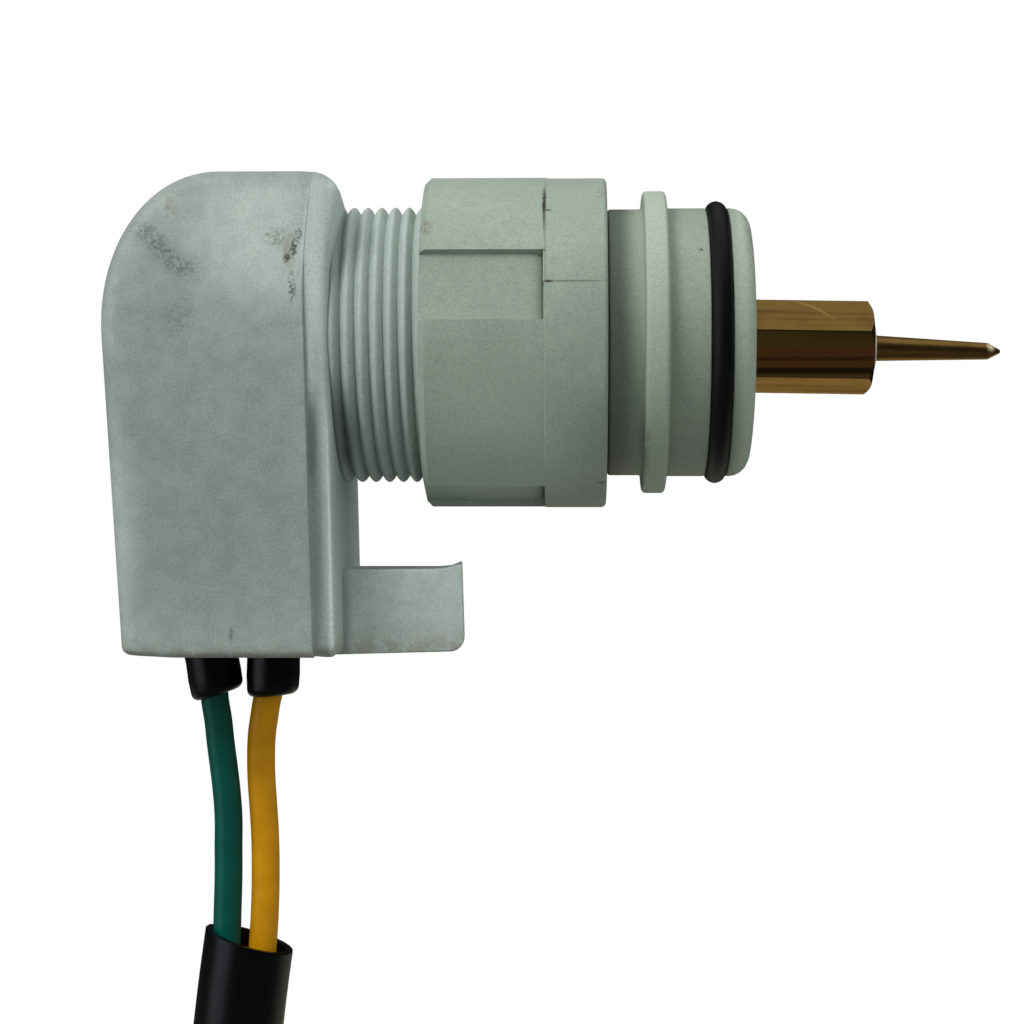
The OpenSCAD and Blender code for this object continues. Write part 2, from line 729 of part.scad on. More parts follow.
// Points of a way inside the elbow, from a contact to a boot
function inner_route(from, to, way) = concat([from],
    [for (p = way) [from[0] + p[0] * (to[0] - from[0]), from[1] + p[1] * (to[1] - from[1])]], [to]);

// Points of a way below the elbow, from a place across
function lead_route(x, way) = [for (p = way) [x + p[0], -housing_drop - p[1] * lead_l]];

// Green wire inside the elbow, from the centre socket to its boot
module lead_green() {
    route = inner_route([x_socket_back - wire_d, 0], [boot_rear_x, tie_z], way_lead_green);
    color(green_colour) solid_tube(concat([[x_socket_back, 0]], route), wire_r, wire_sides);
}

// Yellow wire inside the elbow, from the spring contact's tag to its boot
module lead_yellow() {
    route = inner_route([x_tag_end - wire_r, -tag_r], [boot_front_x, tie_z], way_lead_yellow);
    color(yellow_colour) solid_tube(concat([[x_tag_end, -tag_r]], route), wire_r, wire_sides);
}

// Flanged rubber boot in the elbow's floor
module boot(x) {
    color(black_colour) translate([x, 0, 0]) rotate_extrude() {
        translate([wire_hole_r, boot_end_z]) square([boot_r - wire_hole_r, floor_z - boot_end_z + seat_gap]);
        translate([wire_hole_r, floor_z + seat_gap]) square([boot_flange_r - wire_hole_r, boot_flange_t]);
    }
}

// Boot of the green wire
module boot_green() {
    boot(boot_rear_x);
}

// Boot of the yellow wire
module boot_yellow() {
    boot(boot_front_x);
}

// Green wire from its boot through the sleeve to the connector
module wire_green() {
    end = [connector_x - way_pitch / 2, connector_top - plug_l / 4];
    route = concat([[boot_rear_x, tie_z]], lead_route(boot_rear_x, way_green), [end]);
    color(green_colour) solid_tube(route, wire_r, wire_sides);
}

// Yellow wire from its boot through the sleeve to the connector
module wire_yellow() {
    end = [connector_x + way_pitch / 2, connector_top - plug_l / 4];
    route = concat([[boot_front_x, tie_z]], lead_route(boot_front_x, way_yellow), [end]);
    color(yellow_colour) solid_tube(route, wire_r, wire_sides);
}

// Black sleeve round both wires
module cable_sheath() {
    route = lead_route(boot_mid_x, way_sheath);
    color(black_colour) hollow_tube(route, sheath_d / 2, sheath_wall, sheath_sides, mouth_slant);
}

// Two-way connector with open ways, a stepped rear and a spring latch on one side
module connector_housing() {
    latch_w = plug_w / 3;
    latch_root = latch_t * 1.5;
    front_l = plug_l * 0.7;
    cavity_l = plug_l * 0.75;
    color(white_colour) translate([connector_x, 0, connector_top]) {
        difference() {
            translate([0, 0, -plug_l]) {
                linear_extrude(front_l) rounded_plate(plug_w, plug_d, plug_round);
                linear_extrude(plug_l)
                    rounded_plate(plug_w - plug_step * 2, plug_d - plug_step * 2, plug_round);
            }
            for (side = [-1, 1]) translate([side * way_pitch / 2, 0, -plug_l]) {
                translate([-way_side / 2, -way_side / 2, -over]) cube([way_side, way_side, cavity_l + over]);
                cylinder(r = wire_hole_r, h = plug_l + over);
            }
        }
        translate([-latch_w / 2, -plug_d / 2, -plug_l]) {
            translate([0, -latch_root, latch_t]) cube([latch_w, latch_t, plug_l * 0.62]);
            translate([0, -latch_t, plug_l / 2]) cube([latch_w, latch_root, latch_root]);
            translate([0, -latch_t * 2, latch_t]) cube([latch_w, latch_t, latch_t]);
        }
    }
}

// Rectangle with round corners, centred on the origin
module rounded_plate(w, d, r) {
    square([w - r * 2, d], center = true);
    square([w, d - r * 2], center = true);
    for (x = [-1, 1], y = [-1, 1]) translate([x * (w / 2 - r), y * (d / 2 - r)]) circle(r);
}

// Pair of brass receptacles in the connector's ways
module connector_terminals() {
    box_l = plug_l * 0.6;
    half = way_side / 2 - contact_gap;
    inner = half - terminal_t;
    low = connector_top - plug_l + terminal_t;
    for (side = [-1, 1])
        color(brass_colour) translate([connector_x + side * way_pitch / 2, 0, low]) difference() {
            translate([-half, -half, 0]) cube([half * 2, half * 2, box_l]);
            translate([-inner, -inner, -over]) cube([inner * 2, inner * 2, box_l - terminal_t + over]);
        }
}

rear_cover();
front_body();
seam_gasket();
union_nut();
thrust_ring();
plug_sleeve();
retaining_bush();
face_gasket();
o_ring();
hex_holder();
holder_seal();
lock_washer();
lock_nut();
insulator_bush();
electrode_pin();
socket_block();
spring_contact();
centre_socket();
lead_green();
lead_yellow();
boot_green();
boot_yellow();
wire_green();
wire_yellow();
cable_sheath();
connector_housing();
connector_terminals();
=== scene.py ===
"""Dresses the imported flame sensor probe: its moulded elbow, union nut, plug, brass probe and lead."""
import json
import math
from types import SimpleNamespace

import bmesh
import bpy
from mathutils import Matrix, Vector

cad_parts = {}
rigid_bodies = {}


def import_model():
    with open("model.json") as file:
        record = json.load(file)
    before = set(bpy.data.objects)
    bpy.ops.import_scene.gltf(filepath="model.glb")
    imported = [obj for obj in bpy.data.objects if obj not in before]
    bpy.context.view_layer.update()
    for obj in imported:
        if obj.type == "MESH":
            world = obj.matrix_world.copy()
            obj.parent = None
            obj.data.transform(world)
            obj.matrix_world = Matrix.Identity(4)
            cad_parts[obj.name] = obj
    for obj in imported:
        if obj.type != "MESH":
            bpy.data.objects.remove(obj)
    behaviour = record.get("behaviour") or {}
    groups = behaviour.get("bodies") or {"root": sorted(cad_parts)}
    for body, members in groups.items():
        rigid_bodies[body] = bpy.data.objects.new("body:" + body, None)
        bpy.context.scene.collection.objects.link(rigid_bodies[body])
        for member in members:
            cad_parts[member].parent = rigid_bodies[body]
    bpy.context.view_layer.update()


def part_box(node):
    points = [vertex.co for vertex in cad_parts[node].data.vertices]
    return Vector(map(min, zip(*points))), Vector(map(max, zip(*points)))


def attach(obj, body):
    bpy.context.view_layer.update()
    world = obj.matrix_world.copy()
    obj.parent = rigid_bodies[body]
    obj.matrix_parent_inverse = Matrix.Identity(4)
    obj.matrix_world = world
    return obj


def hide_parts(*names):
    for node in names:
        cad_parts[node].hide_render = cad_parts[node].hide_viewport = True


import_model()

bl_info = {
    "name": "Flame sensor probe",
    "version": (1, 0, 0),
    "blender": (4, 5, 0),
    "location": "View3D > Sidebar > Probe",
    "description": "Models and finishes a flame sensor probe over its packed solids",
    "category": "Object",
}

MM = 0.001
# Distance within which two points count as one
TINY = 1e-6
X_AXIS = Vector((1, 0, 0))
# Heights at which both halves of the elbow are cut across, so that the seam can bow
SEAM_LEVELS = (0.0045, 0.0065, 0.0085, 0.0102, 0.0118, 0.0133)
# Places in millimetres that a smudge and a stain run through on the cover's near side
SMUDGE_PATH = (
    (-54, -15.5, 10.3), (-53.1, -15.5, 9.3), (-52.2, -15.5, 8.3), (-51.2, -15.5, 7.2), (-50.1, -15.5, 6.6))
STAIN_PATH = ((-38.35, -15.7, 10.1), (-38.7, -15.7, 9.1), (-38.9, -15.7, 8.3), (-39.5, -15.7, 7.6))

# Routes of the lead, as distance along the probe axis and height, in millimetres
GREEN_ROUTE = (
    (-49.9, -30.66), (-49.85, -34.4), (-49.5, -38.2), (-49.35, -39.6), (-49.05, -41.4), (-48.75, -44.1),
    (-48.4, -46.8), (-48.1, -49.4), (-47.9, -52.2), (-47.9, -55.5), (-47.9, -58.8), (-48, -62.5),
    (-48.1, -66), (-48.3, -70), (-48.7, -75), (-49.3, -82), (-50, -90), (-50.4, -98), (-50.7, -106),
    (-50.9, -114), *((-51, z) for z in range(-122, -179, -8)), (-51.4, -186), (-51.8, -193), (-51.8, -202))
YELLOW_ROUTE = (
    (-42.9, -30.66), (-42.9, -34.4), (-43.4, -38.2), (-43.7, -39.6), (-43.95, -41.2), (-44.2, -43),
    (-44.3, -45.4), (-44.25, -48), (-44.05, -51), (-43.85, -54.5), (-43.8, -58), (-43.85, -61.5),
    (-44.1, -66), (-44.6, -71), (-45.2, -76), (-45.9, -83), (-46.5, -91), (-46.9, -99), (-47.2, -107),
    *((-47.4, z) for z in range(-115, -180, -8)), (-47.1, -186), (-46.8, -193), (-46.8, -202))
SHEATH_ROUTE = (
    (-45.6, -65.6), (-46.2, -70), (-46.8, -75), (-47.6, -82), (-48.3, -90), (-48.8, -100), (-49.1, -112),
    *((-49.2, z) for z in range(-125, -171, -15)), (-49.2, -183))
GREEN_TAIL = (
    (-35.5, 0), (-38.6, 0), (-44.8, -2.5), (-47.9, -5.8), (-49.4, -10.7), (-49.9, -17.8), (-49.9, -24.5),
    (-49.9, -30.66))
YELLOW_TAIL = (
    (-35.9, -4.55), (-37.45, -4.55), (-39.5, -5.6), (-41.8, -8.5), (-42.7, -12.9), (-42.9, -18.9),
    (-42.9, -24.9), (-42.9, -30.66))


def tone(code):
    """Linear colour of a hexadecimal sRGB code."""
    parts = [int(code[i:i + 2], 16) / 255 for i in (1, 3, 5)]
    return tuple(p / 12.92 if p <= 0.04045 else ((p + 0.055) / 1.055) ** 2.4 for p in parts)


def length(name, description, default):
    """A size in millimetres, kept as a length property."""
    return bpy.props.FloatProperty(name=name, description=description, default=default * MM, unit="LENGTH",
                                   precision=5)


def angle(name, description, default):
    """An angle in degrees, kept as an angle property."""
    return bpy.props.FloatProperty(name=name, description=description, default=math.radians(default),
                                   subtype="ANGLE")


def colour(name, description, code):
    """A colour given by its sRGB code."""
    return bpy.props.FloatVectorProperty(name=name, description=description, default=tone(code), size=3,
                                         min=0, max=1, subtype="COLOR")


class ProbeSizes(bpy.types.PropertyGroup):
    """Sizes that the visible pieces are modelled from."""
    half_width: length("Half width", "Half of the elbow's width across its flat sides", 15.75)
    top: length("Top", "Height of the elbow's top above the probe axis", 16.8)
    drop: length("Drop", "Depth of the elbow's bottom below the probe axis", 33.7)
    rear_x: length("Rear wall", "Place of the rear wall at the probe axis", -59.1)
    rear_lean: angle("Rear lean", "Lean of the rear wall", 3.7)
    seam_x: length("Seam", "Place of the seam at the probe axis", -37.8)
    seam_lean: angle("Seam lean", "Lean of the seam", 1.7)
    seam_bow: length("Seam bow", "How far the seam bows forward at the elbow's top", 1.5)
    corner: length("Corner", "Height of the cover's round top rear corner", 16.2)
    corner_width: length("Corner width", "Width of that corner, which is an upright oval", 12.5)
    edge: length("Edge", "Rounding of the cover's long edges", 2)
    bottom_edge: length("Bottom edge", "Rounding of the cover's bottom edges", 0.8)
    bottom_rise: length("Bottom rise", "Rise of the cover's bottom towards the rear wall", 0.4)
    wall: length("Wall", "Wall of the cover", 2)
    plate_x: length("Plate front", "Place of the plate's front face", -34.9)
    plate_inset: length("Plate inset", "How far the plate's rib stands inside the cover's outline", 0.4)
    plate_fall: length("Plate fall", "How much further in the plate's sides stand at its bottom", 0.35)
    plate_corner: length("Plate corner", "Radius of the plate's corners, seen from the front", 1.6)
    lug_reach: length("Lug reach", "Reach of the locating lug in front of the plate", 13.4)
    lug_height: length("Lug height", "Height of the locating lug", 8.75)
    lug_width: length("Lug width", "Width of the locating lug", 14)
    lug_rise: length("Lug rise", "Rise of the lug's underside above the elbow's bottom, at its end", 0.2)
    lug_slope: length("Lug slope", "Fall of the lug's underside from its end to its root", 0.4)
    thread: length("Thread radius", "Outside radius of the spigot's thread", 15)
    spigot_sag: length("Spigot sag", "How far the spigot hangs in the loose thread of the nut", 0.35)
    plug_sag: length("Plug sag", "How far the nut and the plug hang below the elbow's axis", 0.12)
    pitch: length("Thread pitch", "Distance between two turns of the thread", 1.5)
    thread_depth: length("Thread depth", "Depth of the thread's sharp valleys", 0.9)
    spigot_end: length("Spigot end", "Place of the spigot's end inside the nut", -14.5)
    spigot_bore: length("Spigot bore", "Radius of the spigot's bore", 11.5)
    nut_back: length("Nut rear", "Place of the nut's rear end", -25.9)
    nut_band: length("Nut band", "Place where the nut's front band starts", -13.1)
    nut_front: length("Nut front", "Place of the nut's front end", -6.4)
    nut_radius: length("Nut radius", "Radius of the nut's front band", 17.9)
    nut_rear_radius: length("Nut rear radius", "Radius of the nut's notched part", 17.93)
    nut_bore: length("Nut bore", "Radius of the nut's bore", 15.4)
    nut_lip: length("Nut lip", "Radius of the hole in the nut's front lip", 13.2)
    notch_floor: length("Notch floor", "Distance of a spanner notch's floor from the axis", 16.85)
    notch_width: length("Notch width", "Width of a spanner notch", 7.4)
    notch_turn: angle("Notch turn", "Angle of the first notch above the nut's side", 16.3)
    neck: length("Neck radius", "Radius of the plug's neck", 14.5)
    collar: length("Collar radius", "Radius of the plug's collar", 16.45)
    collar_back: length("Collar rear", "Place of the collar's rear face", -2.5)
    plug: length("Plug radius", "Radius of the plug in front of the collar", 14.6)
    plug_front: length("Plug front", "Place of the plug's front face", 9.1)
    plug_round: length("Plug rounding", "Rounding of the plug's front edge", 2.1)
    ring_x: length("O-ring place", "Place of the O-ring's middle", 5.5)
    ring_cord: length("O-ring cord", "Thickness of the O-ring", 2.3)
    hexagon: length("Hexagon", "Size of the brass hexagon across its flats", 9)
    hexagon_front: length("Hexagon front", "Place of the hexagon's front face", 22.5)
    hexagon_turn: angle("Hexagon turn", "Turn of the hexagon about the probe axis", 13.4)
    probe_tilt: angle("Probe tilt", "Slight droop of the brass probe in its plug", 0.95)
    pin_tilt: angle("Pin tilt", "Slight droop of the pin in its bush", 0.7)
    bush_front: length("Bush front", "Place of the white bush's front face", 22.9)
    bush: length("Bush radius", "Radius of the white bush round the pin", 2.6)
    pin_root: length("Pin root", "Radius of the pin where it leaves its bush", 1.4)
    pin_end: length("Pin end", "Radius of the pin behind its point", 0.9)
    pin_tip: length("Pin tip", "Place of the pin's tip", 36.6)
    wire: length("Wire", "Diameter of each insulated wire", 3.1)
    sheath: length("Sleeve", "Outside diameter of the black sleeve round the wires", 9.9)
    sheath_wall: length("Sleeve wall", "Wall of the black sleeve", 0.8)
    sheath_slant: angle("Sleeve slant", "Slant of the sleeve's upper cut", 8)
    boot: length("Boot radius", "Radius of the rubber boots", 2.95)
    boot_end: length("Boot end", "Height of the boots' lower ends", -38.7)


class ProbeColours(bpy.types.PropertyGroup):
    """Colours of the finishes."""
    shell: colour("Housing", "Moulded plastic of the elbow", "#aab7b0")
    nut: colour("Union nut", "Moulded plastic of the union nut", "#9aa79b")
    plug: colour("Plug", "Moulded plastic of the plug and its bush", "#98a596")
    # Brown dirt, which, darkened, also draws painted shade lines on the nut
    grime_and_shade: colour("Grime", "Brown grime in corners and on edges", "#5d5146")
    smudge: colour("Smudge", "Grey handling marks", "#6b7a76")
    brass: colour("Brass", "Bright brass", "#ac8a50")
    tarnish: colour("Tarnish", "Darkened brass", "#8c6a38")
    rubber: colour("Rubber", "Black rubber", "#070808")
    sleeving: colour("Sleeving", "Black sleeve of the lead", "#030405")
    green: colour("Green wire", "Insulation of the green wire", "#005549")
    yellow: colour("Yellow wire", "Insulation of the yellow wire", "#d29304")
    nylon: colour("Connector", "Natural nylon of the connector", "#d9d5c4")
    white: colour("White insulator", "White insulating plastic", "#e6e3d8")
    steel: colour("Plated steel", "Plated washers and terminals", "#b9bcc0")
    dark: colour("Black insulator", "Black moulded insulator", "#1d1e20")


class Socket:
    """A shader socket that takes part in plain arithmetic by adding Math nodes."""

    def __init__(self, finish, socket):
        self.finish = finish
        self.socket = socket

    def math(self, operation, first, second):
        return self.finish.node("ShaderNodeMath", {"operation": operation}, {0: first, 1: second})

    def __add__(self, other):
        return self.math("ADD", self, other)

    def __radd__(self, other):
        return self.math("ADD", other, self)

    def __sub__(self, other):
        return self.math("SUBTRACT", self, other)

    def __rsub__(self, other):
        return self.math("SUBTRACT", other, self)

    def __mul__(self, other):
        return self.math("MULTIPLY", self, other)

    def __rmul__(self, other):
        return self.math("MULTIPLY", other, self)


class Finish:
    """A material, or the studio's sky, with the nodes that make it."""

    def __init__(self, name, tree=None, **constants):
        self.material = None
        if tree is None:
            self.material = bpy.data.materials.new(name)
            self.material.use_nodes = True
            tree = self.material.node_tree
            self.shader = tree.nodes["Principled BSDF"]
            for socket, value in constants.items():
                self.shader.inputs[socket.replace("_", " ")].default_value = value
        self.tree = tree
        self.cache = None

    def node(self, kind, settings=None, inputs=None, output=0):
        """Adds a node, sets it, fills or links its sockets and gives one of its outputs."""
        node = self.tree.nodes.new(kind)
        for key, value in (settings or {}).items():
            setattr(node, key, value)
        for key, value in (inputs or {}).items():
            if isinstance(value, Socket):
                self.tree.links.new(value.socket, node.inputs[key])
            else:
                node.inputs[key].default_value = value
        return Socket(self, node.outputs[output])

    @property
    def place(self):
        """The point of the surface in the piece's own Object coordinates."""
        if self.cache is None:
            self.cache = self.node("ShaderNodeTexCoord", output=3)
        return self.cache

    def vector(self, operation, first, second, output=0):
        return self.node("ShaderNodeVectorMath", {"operation": operation}, {0: first, 1: second}, output)

    def noise(self, scale, detail=3.0, rough=0.55, stretch=(1, 1, 1)):
        """Noise with a number of spots to the metre, drawn out along the axes by a stretch."""
        where = self.place if stretch == (1, 1, 1) else self.vector("MULTIPLY", self.place, stretch)
        return self.node("ShaderNodeTexNoise", {}, {"Vector": where, "Scale": scale, "Detail": detail,
                                                    "Roughness": rough})

    def step(self, value, low, high, start=0.0, end=1.0):
        """Smooth step of a value from one level to another."""
        return self.node("ShaderNodeMapRange", {"interpolation_type": "SMOOTHSTEP"},
                         {0: value, 1: low, 2: high, 3: start, 4: end})

    def mix(self, share, first, second, blend="MIX"):
        """Mix of two colours."""
        full = [(*c, 1) if isinstance(c, tuple) and len(c) == 3 else c for c in (first, second)]
        return self.node("ShaderNodeMix", {"data_type": "RGBA", "blend_type": blend},
                         {0: share, 6: full[0], 7: full[1]}, output=2)

    def along(self, axis):
        """One coordinate of the place."""
        return self.node("ShaderNodeSeparateXYZ", {}, {0: self.place}, output="XYZ".index(axis))

    def spot(self, centre, reach, grain=0.0, cover=0.5):
        """Soft spot round a place in millimetres: 1 in its middle, 0 past its reach, broken up by a grain."""
        away = self.vector("SUBTRACT", self.place, tuple(c * MM for c in centre))
        away = self.vector("DIVIDE", away, tuple(r * MM for r in reach))
        near = self.step(self.vector("LENGTH", away, (0, 0, 0), output=1), 1.0, 0.3)
        return self.broken(near, self.noise(grain, 4.0, 0.65), cover) if grain else near

    def broken(self, near, flecks, cover):
        """A mark broken up into flecks, which lie closer the higher its cover."""
        return near * self.step(flecks, 0.57 - cover * 0.3, 0.75 - cover * 0.3)

    def bump(self, height, strength, distance):
        """Raises the surface by a height map."""
        levels = {"Strength": strength, "Distance": distance, "Height": height}
        self.paint("Normal", self.node("ShaderNodeBump", {}, levels))

    def paint(self, socket, value):
        """Feeds one of the shader's sockets."""
        self.tree.links.new(value.socket, self.shader.inputs[socket])

    def ray(self, kind):
        """1 for light rays of a kind and 0 for the others."""
        return self.node("ShaderNodeLightPath", output=f"Is {kind} Ray")

    def surface(self, shader):
        """Puts another shader on the output."""
        end = next(n for n in self.tree.nodes if n.type.startswith("OUTPUT"))
        self.tree.links.new(shader.socket, end.inputs["Surface"])

    def on(self, piece):
        """Puts the finish on a whole piece."""
        piece.data.materials.clear()
        piece.data.materials.append(self.material)


def sizes():
    """The sizes that the visible pieces are modelled from."""
    return bpy.context.scene.probe_sizes


def colours():
    """The finishes' colours by name, as plain tuples."""
    group = bpy.context.scene.probe_colours
    return SimpleNamespace(**{name: tuple(getattr(group, name)) for name in ProbeColours.__annotations__})


def ease(value, start, end):
    """Share of the way from a start to an end, eased at both."""
    share = min(1.0, max(0.0, (value - start) / (end - start)))
    return share * share * (3 - 2 * share)


def shade(base, factor):
    """A colour made darker or lighter by a factor."""
    return tuple(min(1.0, part * factor) for part in base)


def begin():
    """Leaves object mode with nothing selected, so that the next primitive stands alone."""
    if bpy.context.mode != "OBJECT":
        bpy.ops.object.mode_set(mode="OBJECT")
    bpy.ops.object.select_all(action="DESELECT")


def take(piece):
    """Selects one piece alone and makes it the active one."""
    begin()
    piece.select_set(True)
    bpy.context.view_layer.objects.active = piece


def freeze():
    """Puts the place, turn and scale of the selected piece in its mesh."""
    bpy.ops.object.transform_apply(location=True, rotation=True, scale=True)


def added(name):
    """Names the primitive that was just added and puts its place in its mesh."""
    piece = bpy.context.object
    piece.name = name
    freeze()
    return piece


def edit():
    """Opens the active piece with all of it selected."""
    bpy.ops.object.mode_set(mode="EDIT")
    bpy.ops.mesh.select_all(action="SELECT")


def pick(kind, test):
    """Selects in edit mode the vertices, edges or faces of the active piece that pass a test."""
    bpy.ops.mesh.select_mode(type=kind)
    bpy.ops.mesh.select_all(action="DESELECT")
    mesh = bpy.context.object.data
    shape = bmesh.from_edit_mesh(mesh)
    items = {"VERT": shape.verts, "EDGE": shape.edges, "FACE": shape.faces}[kind]
    found = [item for item in items if test(item)]
    if not found:
        raise RuntimeError(f"{bpy.context.object.name}: nothing to select")
    for item in found:
        item.select_set(True)
    shape.select_flush_mode()
    bmesh.update_edit_mesh(mesh)


def shift(way, test):
    """Moves the points of the active piece that pass a test."""
    pick("VERT", test)
    bpy.ops.transform.translate(value=way)


def draw_out(way):
    """Extrudes the selection."""
    bpy.ops.mesh.extrude_region_move(TRANSFORM_OT_translate={"value": way})


def slices(planes):
    """Cuts the piece in hand at planes, to give it points to bend at."""
    for spot, normal in planes:
        bpy.ops.mesh.select_all(action="SELECT")
        bpy.ops.mesh.bisect(plane_co=spot, plane_no=normal)


def settle(piece, soft=35.0, outward=True):
    """Ends a piece: doubles merged, faces turned outwards, its place put in the mesh, soft edges smoothed."""
    take(piece)
    edit()
    bpy.ops.mesh.remove_doubles(threshold=2 * TINY)
    if outward:
        bpy.ops.mesh.normals_make_consistent(inside=False)
    bpy.ops.object.mode_set(mode="OBJECT")
    freeze()
    bpy.ops.object.shade_smooth_by_angle(angle=math.radians(soft))
    return piece


def join(name, *pieces):
    """Joins loose shells into one piece."""
    begin()
    for piece in pieces:
        piece.select_set(True)
    bpy.context.view_layer.objects.active = pieces[0]
    bpy.ops.object.join()
    pieces[0].name = name
    return pieces[0]


def lowered(piece, amount):
    """Lets a piece hang a little below its place."""
    take(piece)
    piece.location.z = -amount
    freeze()
    return piece


def applied(piece, kind, **settings):
    """Adds a modifier, sets it and applies it."""
    take(piece)
    modifier = piece.modifiers.new(kind.title(), kind)
    for key, value in settings.items():
        setattr(modifier, key, value)
    bpy.ops.object.modifier_apply(modifier=modifier.name)


def box(name, low, high):
    """A cube between two corners, left open in edit mode."""
    begin()
    middle = [(a + b) / 2 for a, b in zip(low, high)]
    span = [b - a for a, b in zip(low, high)]
    bpy.ops.mesh.primitive_cube_add(size=1, location=middle, scale=span)
    piece = added(name)
    edit()
    return piece


def bevel(offset, segments, affect="EDGES"):
    """Rounds the selected edges or corners."""
    bpy.ops.mesh.bevel(offset=offset, offset_type="OFFSET", segments=segments, profile=0.5, affect=affect,
                       clamp_overlap=False)


def softened(corners, steps=5):
    """Points of a line whose corners (along, across, rounding) are eased by an arc."""
    line = []
    for i, (x, y, round_r) in enumerate(corners):
        here = Vector((x, y))
        if round_r <= 0:
            line.append(here)
            continue
        back = (Vector(corners[i - 1][:2]) - here).normalized()
        ahead = (Vector(corners[(i + 1) % len(corners)][:2]) - here).normalized()
        half = back.angle(ahead) / 2
        centre = here + (back + ahead).normalized() * (round_r / math.sin(half))
        first = here + back * (round_r / math.tan(half)) - centre
        last = here + ahead * (round_r / math.tan(half)) - centre
        sweep = first.angle_signed(last)
        for k in range(steps + 1):
            part = -sweep * k / steps
            line.append(centre + Matrix.Rotation(part, 2) @ first)
    return line


def trace(name, points, closed=False):
    """Draws a line by extruding one point from place to place, left selected in edit mode."""
    begin()
    bpy.ops.mesh.primitive_plane_add(size=MM, location=points[0])
    piece = bpy.context.object
    piece.name = name
    edit()
    bpy.ops.mesh.select_mode(type="VERT")
    bpy.ops.mesh.merge(type="CENTER")
    for here, there in zip(points, points[1:]):
        draw_out(there - here)
    bpy.ops.mesh.select_all(action="SELECT")
    if closed:
        bpy.ops.mesh.edge_face_add()
    return piece


def turn(name, corners, steps=160, soft=35.0, ring=False):
    """Turns a profile of (along X, radius, rounding) about the probe axis."""
    line = softened(corners)
    if ring:
        line.append(line[0])
    trace(name, [Vector((p.x, 0, p.y)) for p in line])
    bpy.ops.mesh.spin(steps=steps, angle=math.tau, center=(0, 0, 0), axis=(1, 0, 0))
    return settle(bpy.context.object, soft)


def place_piece(piece, body, slot, *nodes):
    """Rides a finished piece on its body and hides the solids that it stands for; its slot is not used."""
    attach(piece, body)
    if nodes:
        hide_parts(*nodes)


def point(spot):
    """A route's point in metres."""
    return Vector((spot[0] * MM, 0, spot[1] * MM))


def strand(name, route, diameter):
    """A round strand along a route, as one smooth open curve."""
    line = bpy.data.curves.new(name, "CURVE")
    line.dimensions = "3D"
    line.resolution_u = 6
    line.bevel_depth = diameter / 2
    line.bevel_resolution = 6
    line.use_fill_caps = True
    spline = line.splines.new("BEZIER")
    spline.bezier_points.add(len(route) - 1)
    for knot, spot in zip(spline.bezier_points, route):
        knot.co = point(spot)
        knot.handle_left_type = knot.handle_right_type = "AUTO"
    piece = bpy.data.objects.new(name, line)
    bpy.context.scene.collection.objects.link(piece)
    return piece


def route_length(route):
    """Length of a route in metres, from point to point."""
    return sum((point(b) - point(a)).length for a, b in zip(route, route[1:]))


def moulded(name, base, marks=(), grain=1.0, worn=0.0):
    """Moulded plastic: slow mottling, fine grain, marks at given places, which are dirt or painted light and
    shade, and a worn, cloudy skin.
    """
    finish = Finish(name, Specular_IOR_Level=0.42)
    slow = finish.noise(95, 3.0)
    fine = finish.noise(760, 4.0, 0.6)
    tint = finish.mix(finish.step(slow, 0.36, 0.64), shade(base, 0.94), shade(base, 1.05))
    tint = finish.mix(finish.step(fine, 0.32, 0.68, 0.0, 0.7), tint, shade(base, 0.87))
    specks = finish.step(finish.noise(1500, 2.0, 0.5), 0.735, 0.77, 0.0, 0.5)
    tint = finish.mix(specks, tint, shade(base, 0.45))
    for mark, paint, strength in marks:
        tint = finish.mix(mark(finish) * strength, tint, paint)
    skin = finish.step(finish.noise(4000, 2.0, 0.6), 0.34, 0.66, 0.5 * worn, 1 - 0.5 * worn)
    if worn:
        skin = skin + finish.step(finish.noise(430, 3.0, 0.6), 0.32, 0.68, -0.5 * worn, 0.5 * worn)
    reach = 0.08 / (1 - worn)
    tint = finish.mix(1.0, tint, finish.mix(skin, (1 - reach,) * 3, (1 + reach,) * 3), "MULTIPLY")
    finish.paint("Base Color", tint)
    finish.paint("Roughness", 0.44 + 0.16 * fine + 0.05 * slow)
    height = finish.noise(5200, 2.0, 0.5) * 0.55 + finish.noise(1350, 3.0, 0.6)
    finish.bump(height, 0.22 * grain, 0.00006)
    return finish


def rubbery(name, base, rough, scale):
    """Black rubber or sleeving: dull bloom, rubbed streaks and a fine skin."""
    finish = Finish(name, Specular_IOR_Level=0.4, Specular_Tint=(0.82, 0.93, 1, 1))
    bloom = finish.noise(scale * 0.35, 4.0, 0.6)
    finish.paint("Base Color", finish.mix(finish.step(bloom, 0.42, 0.72, 0.0, 0.6), base, shade(base, 1.7)))
    finish.paint("Roughness", rough + 0.16 * finish.noise(scale, 3.0))
    finish.bump(finish.noise(scale * 2.4, 3.0, 0.6), 0.2, 0.00005)
    return finish


def insulation(name, base, pale):
    """Glossy wire insulation with slight colour drift and a drawn skin."""
    finish = Finish(name, Specular_IOR_Level=0.24)
    drift = finish.noise(220, 3.0)
    drawn = finish.noise(1900, 2.0, 0.5, stretch=(1, 1, 0.12))
    tint = finish.mix(finish.step(drift, 0.35, 0.68, 0.0, 0.7), base, pale)
    scuff = finish.step(finish.noise(700, 4.0, 0.7), 0.68, 0.74, 0.0, 0.25)
    finish.paint("Base Color", finish.mix(scuff, tint, shade(pale, 1.6)))
    finish.paint("Roughness", 0.3 + 0.14 * drawn)
    finish.bump(drawn, 0.18, 0.00005)
    return finish


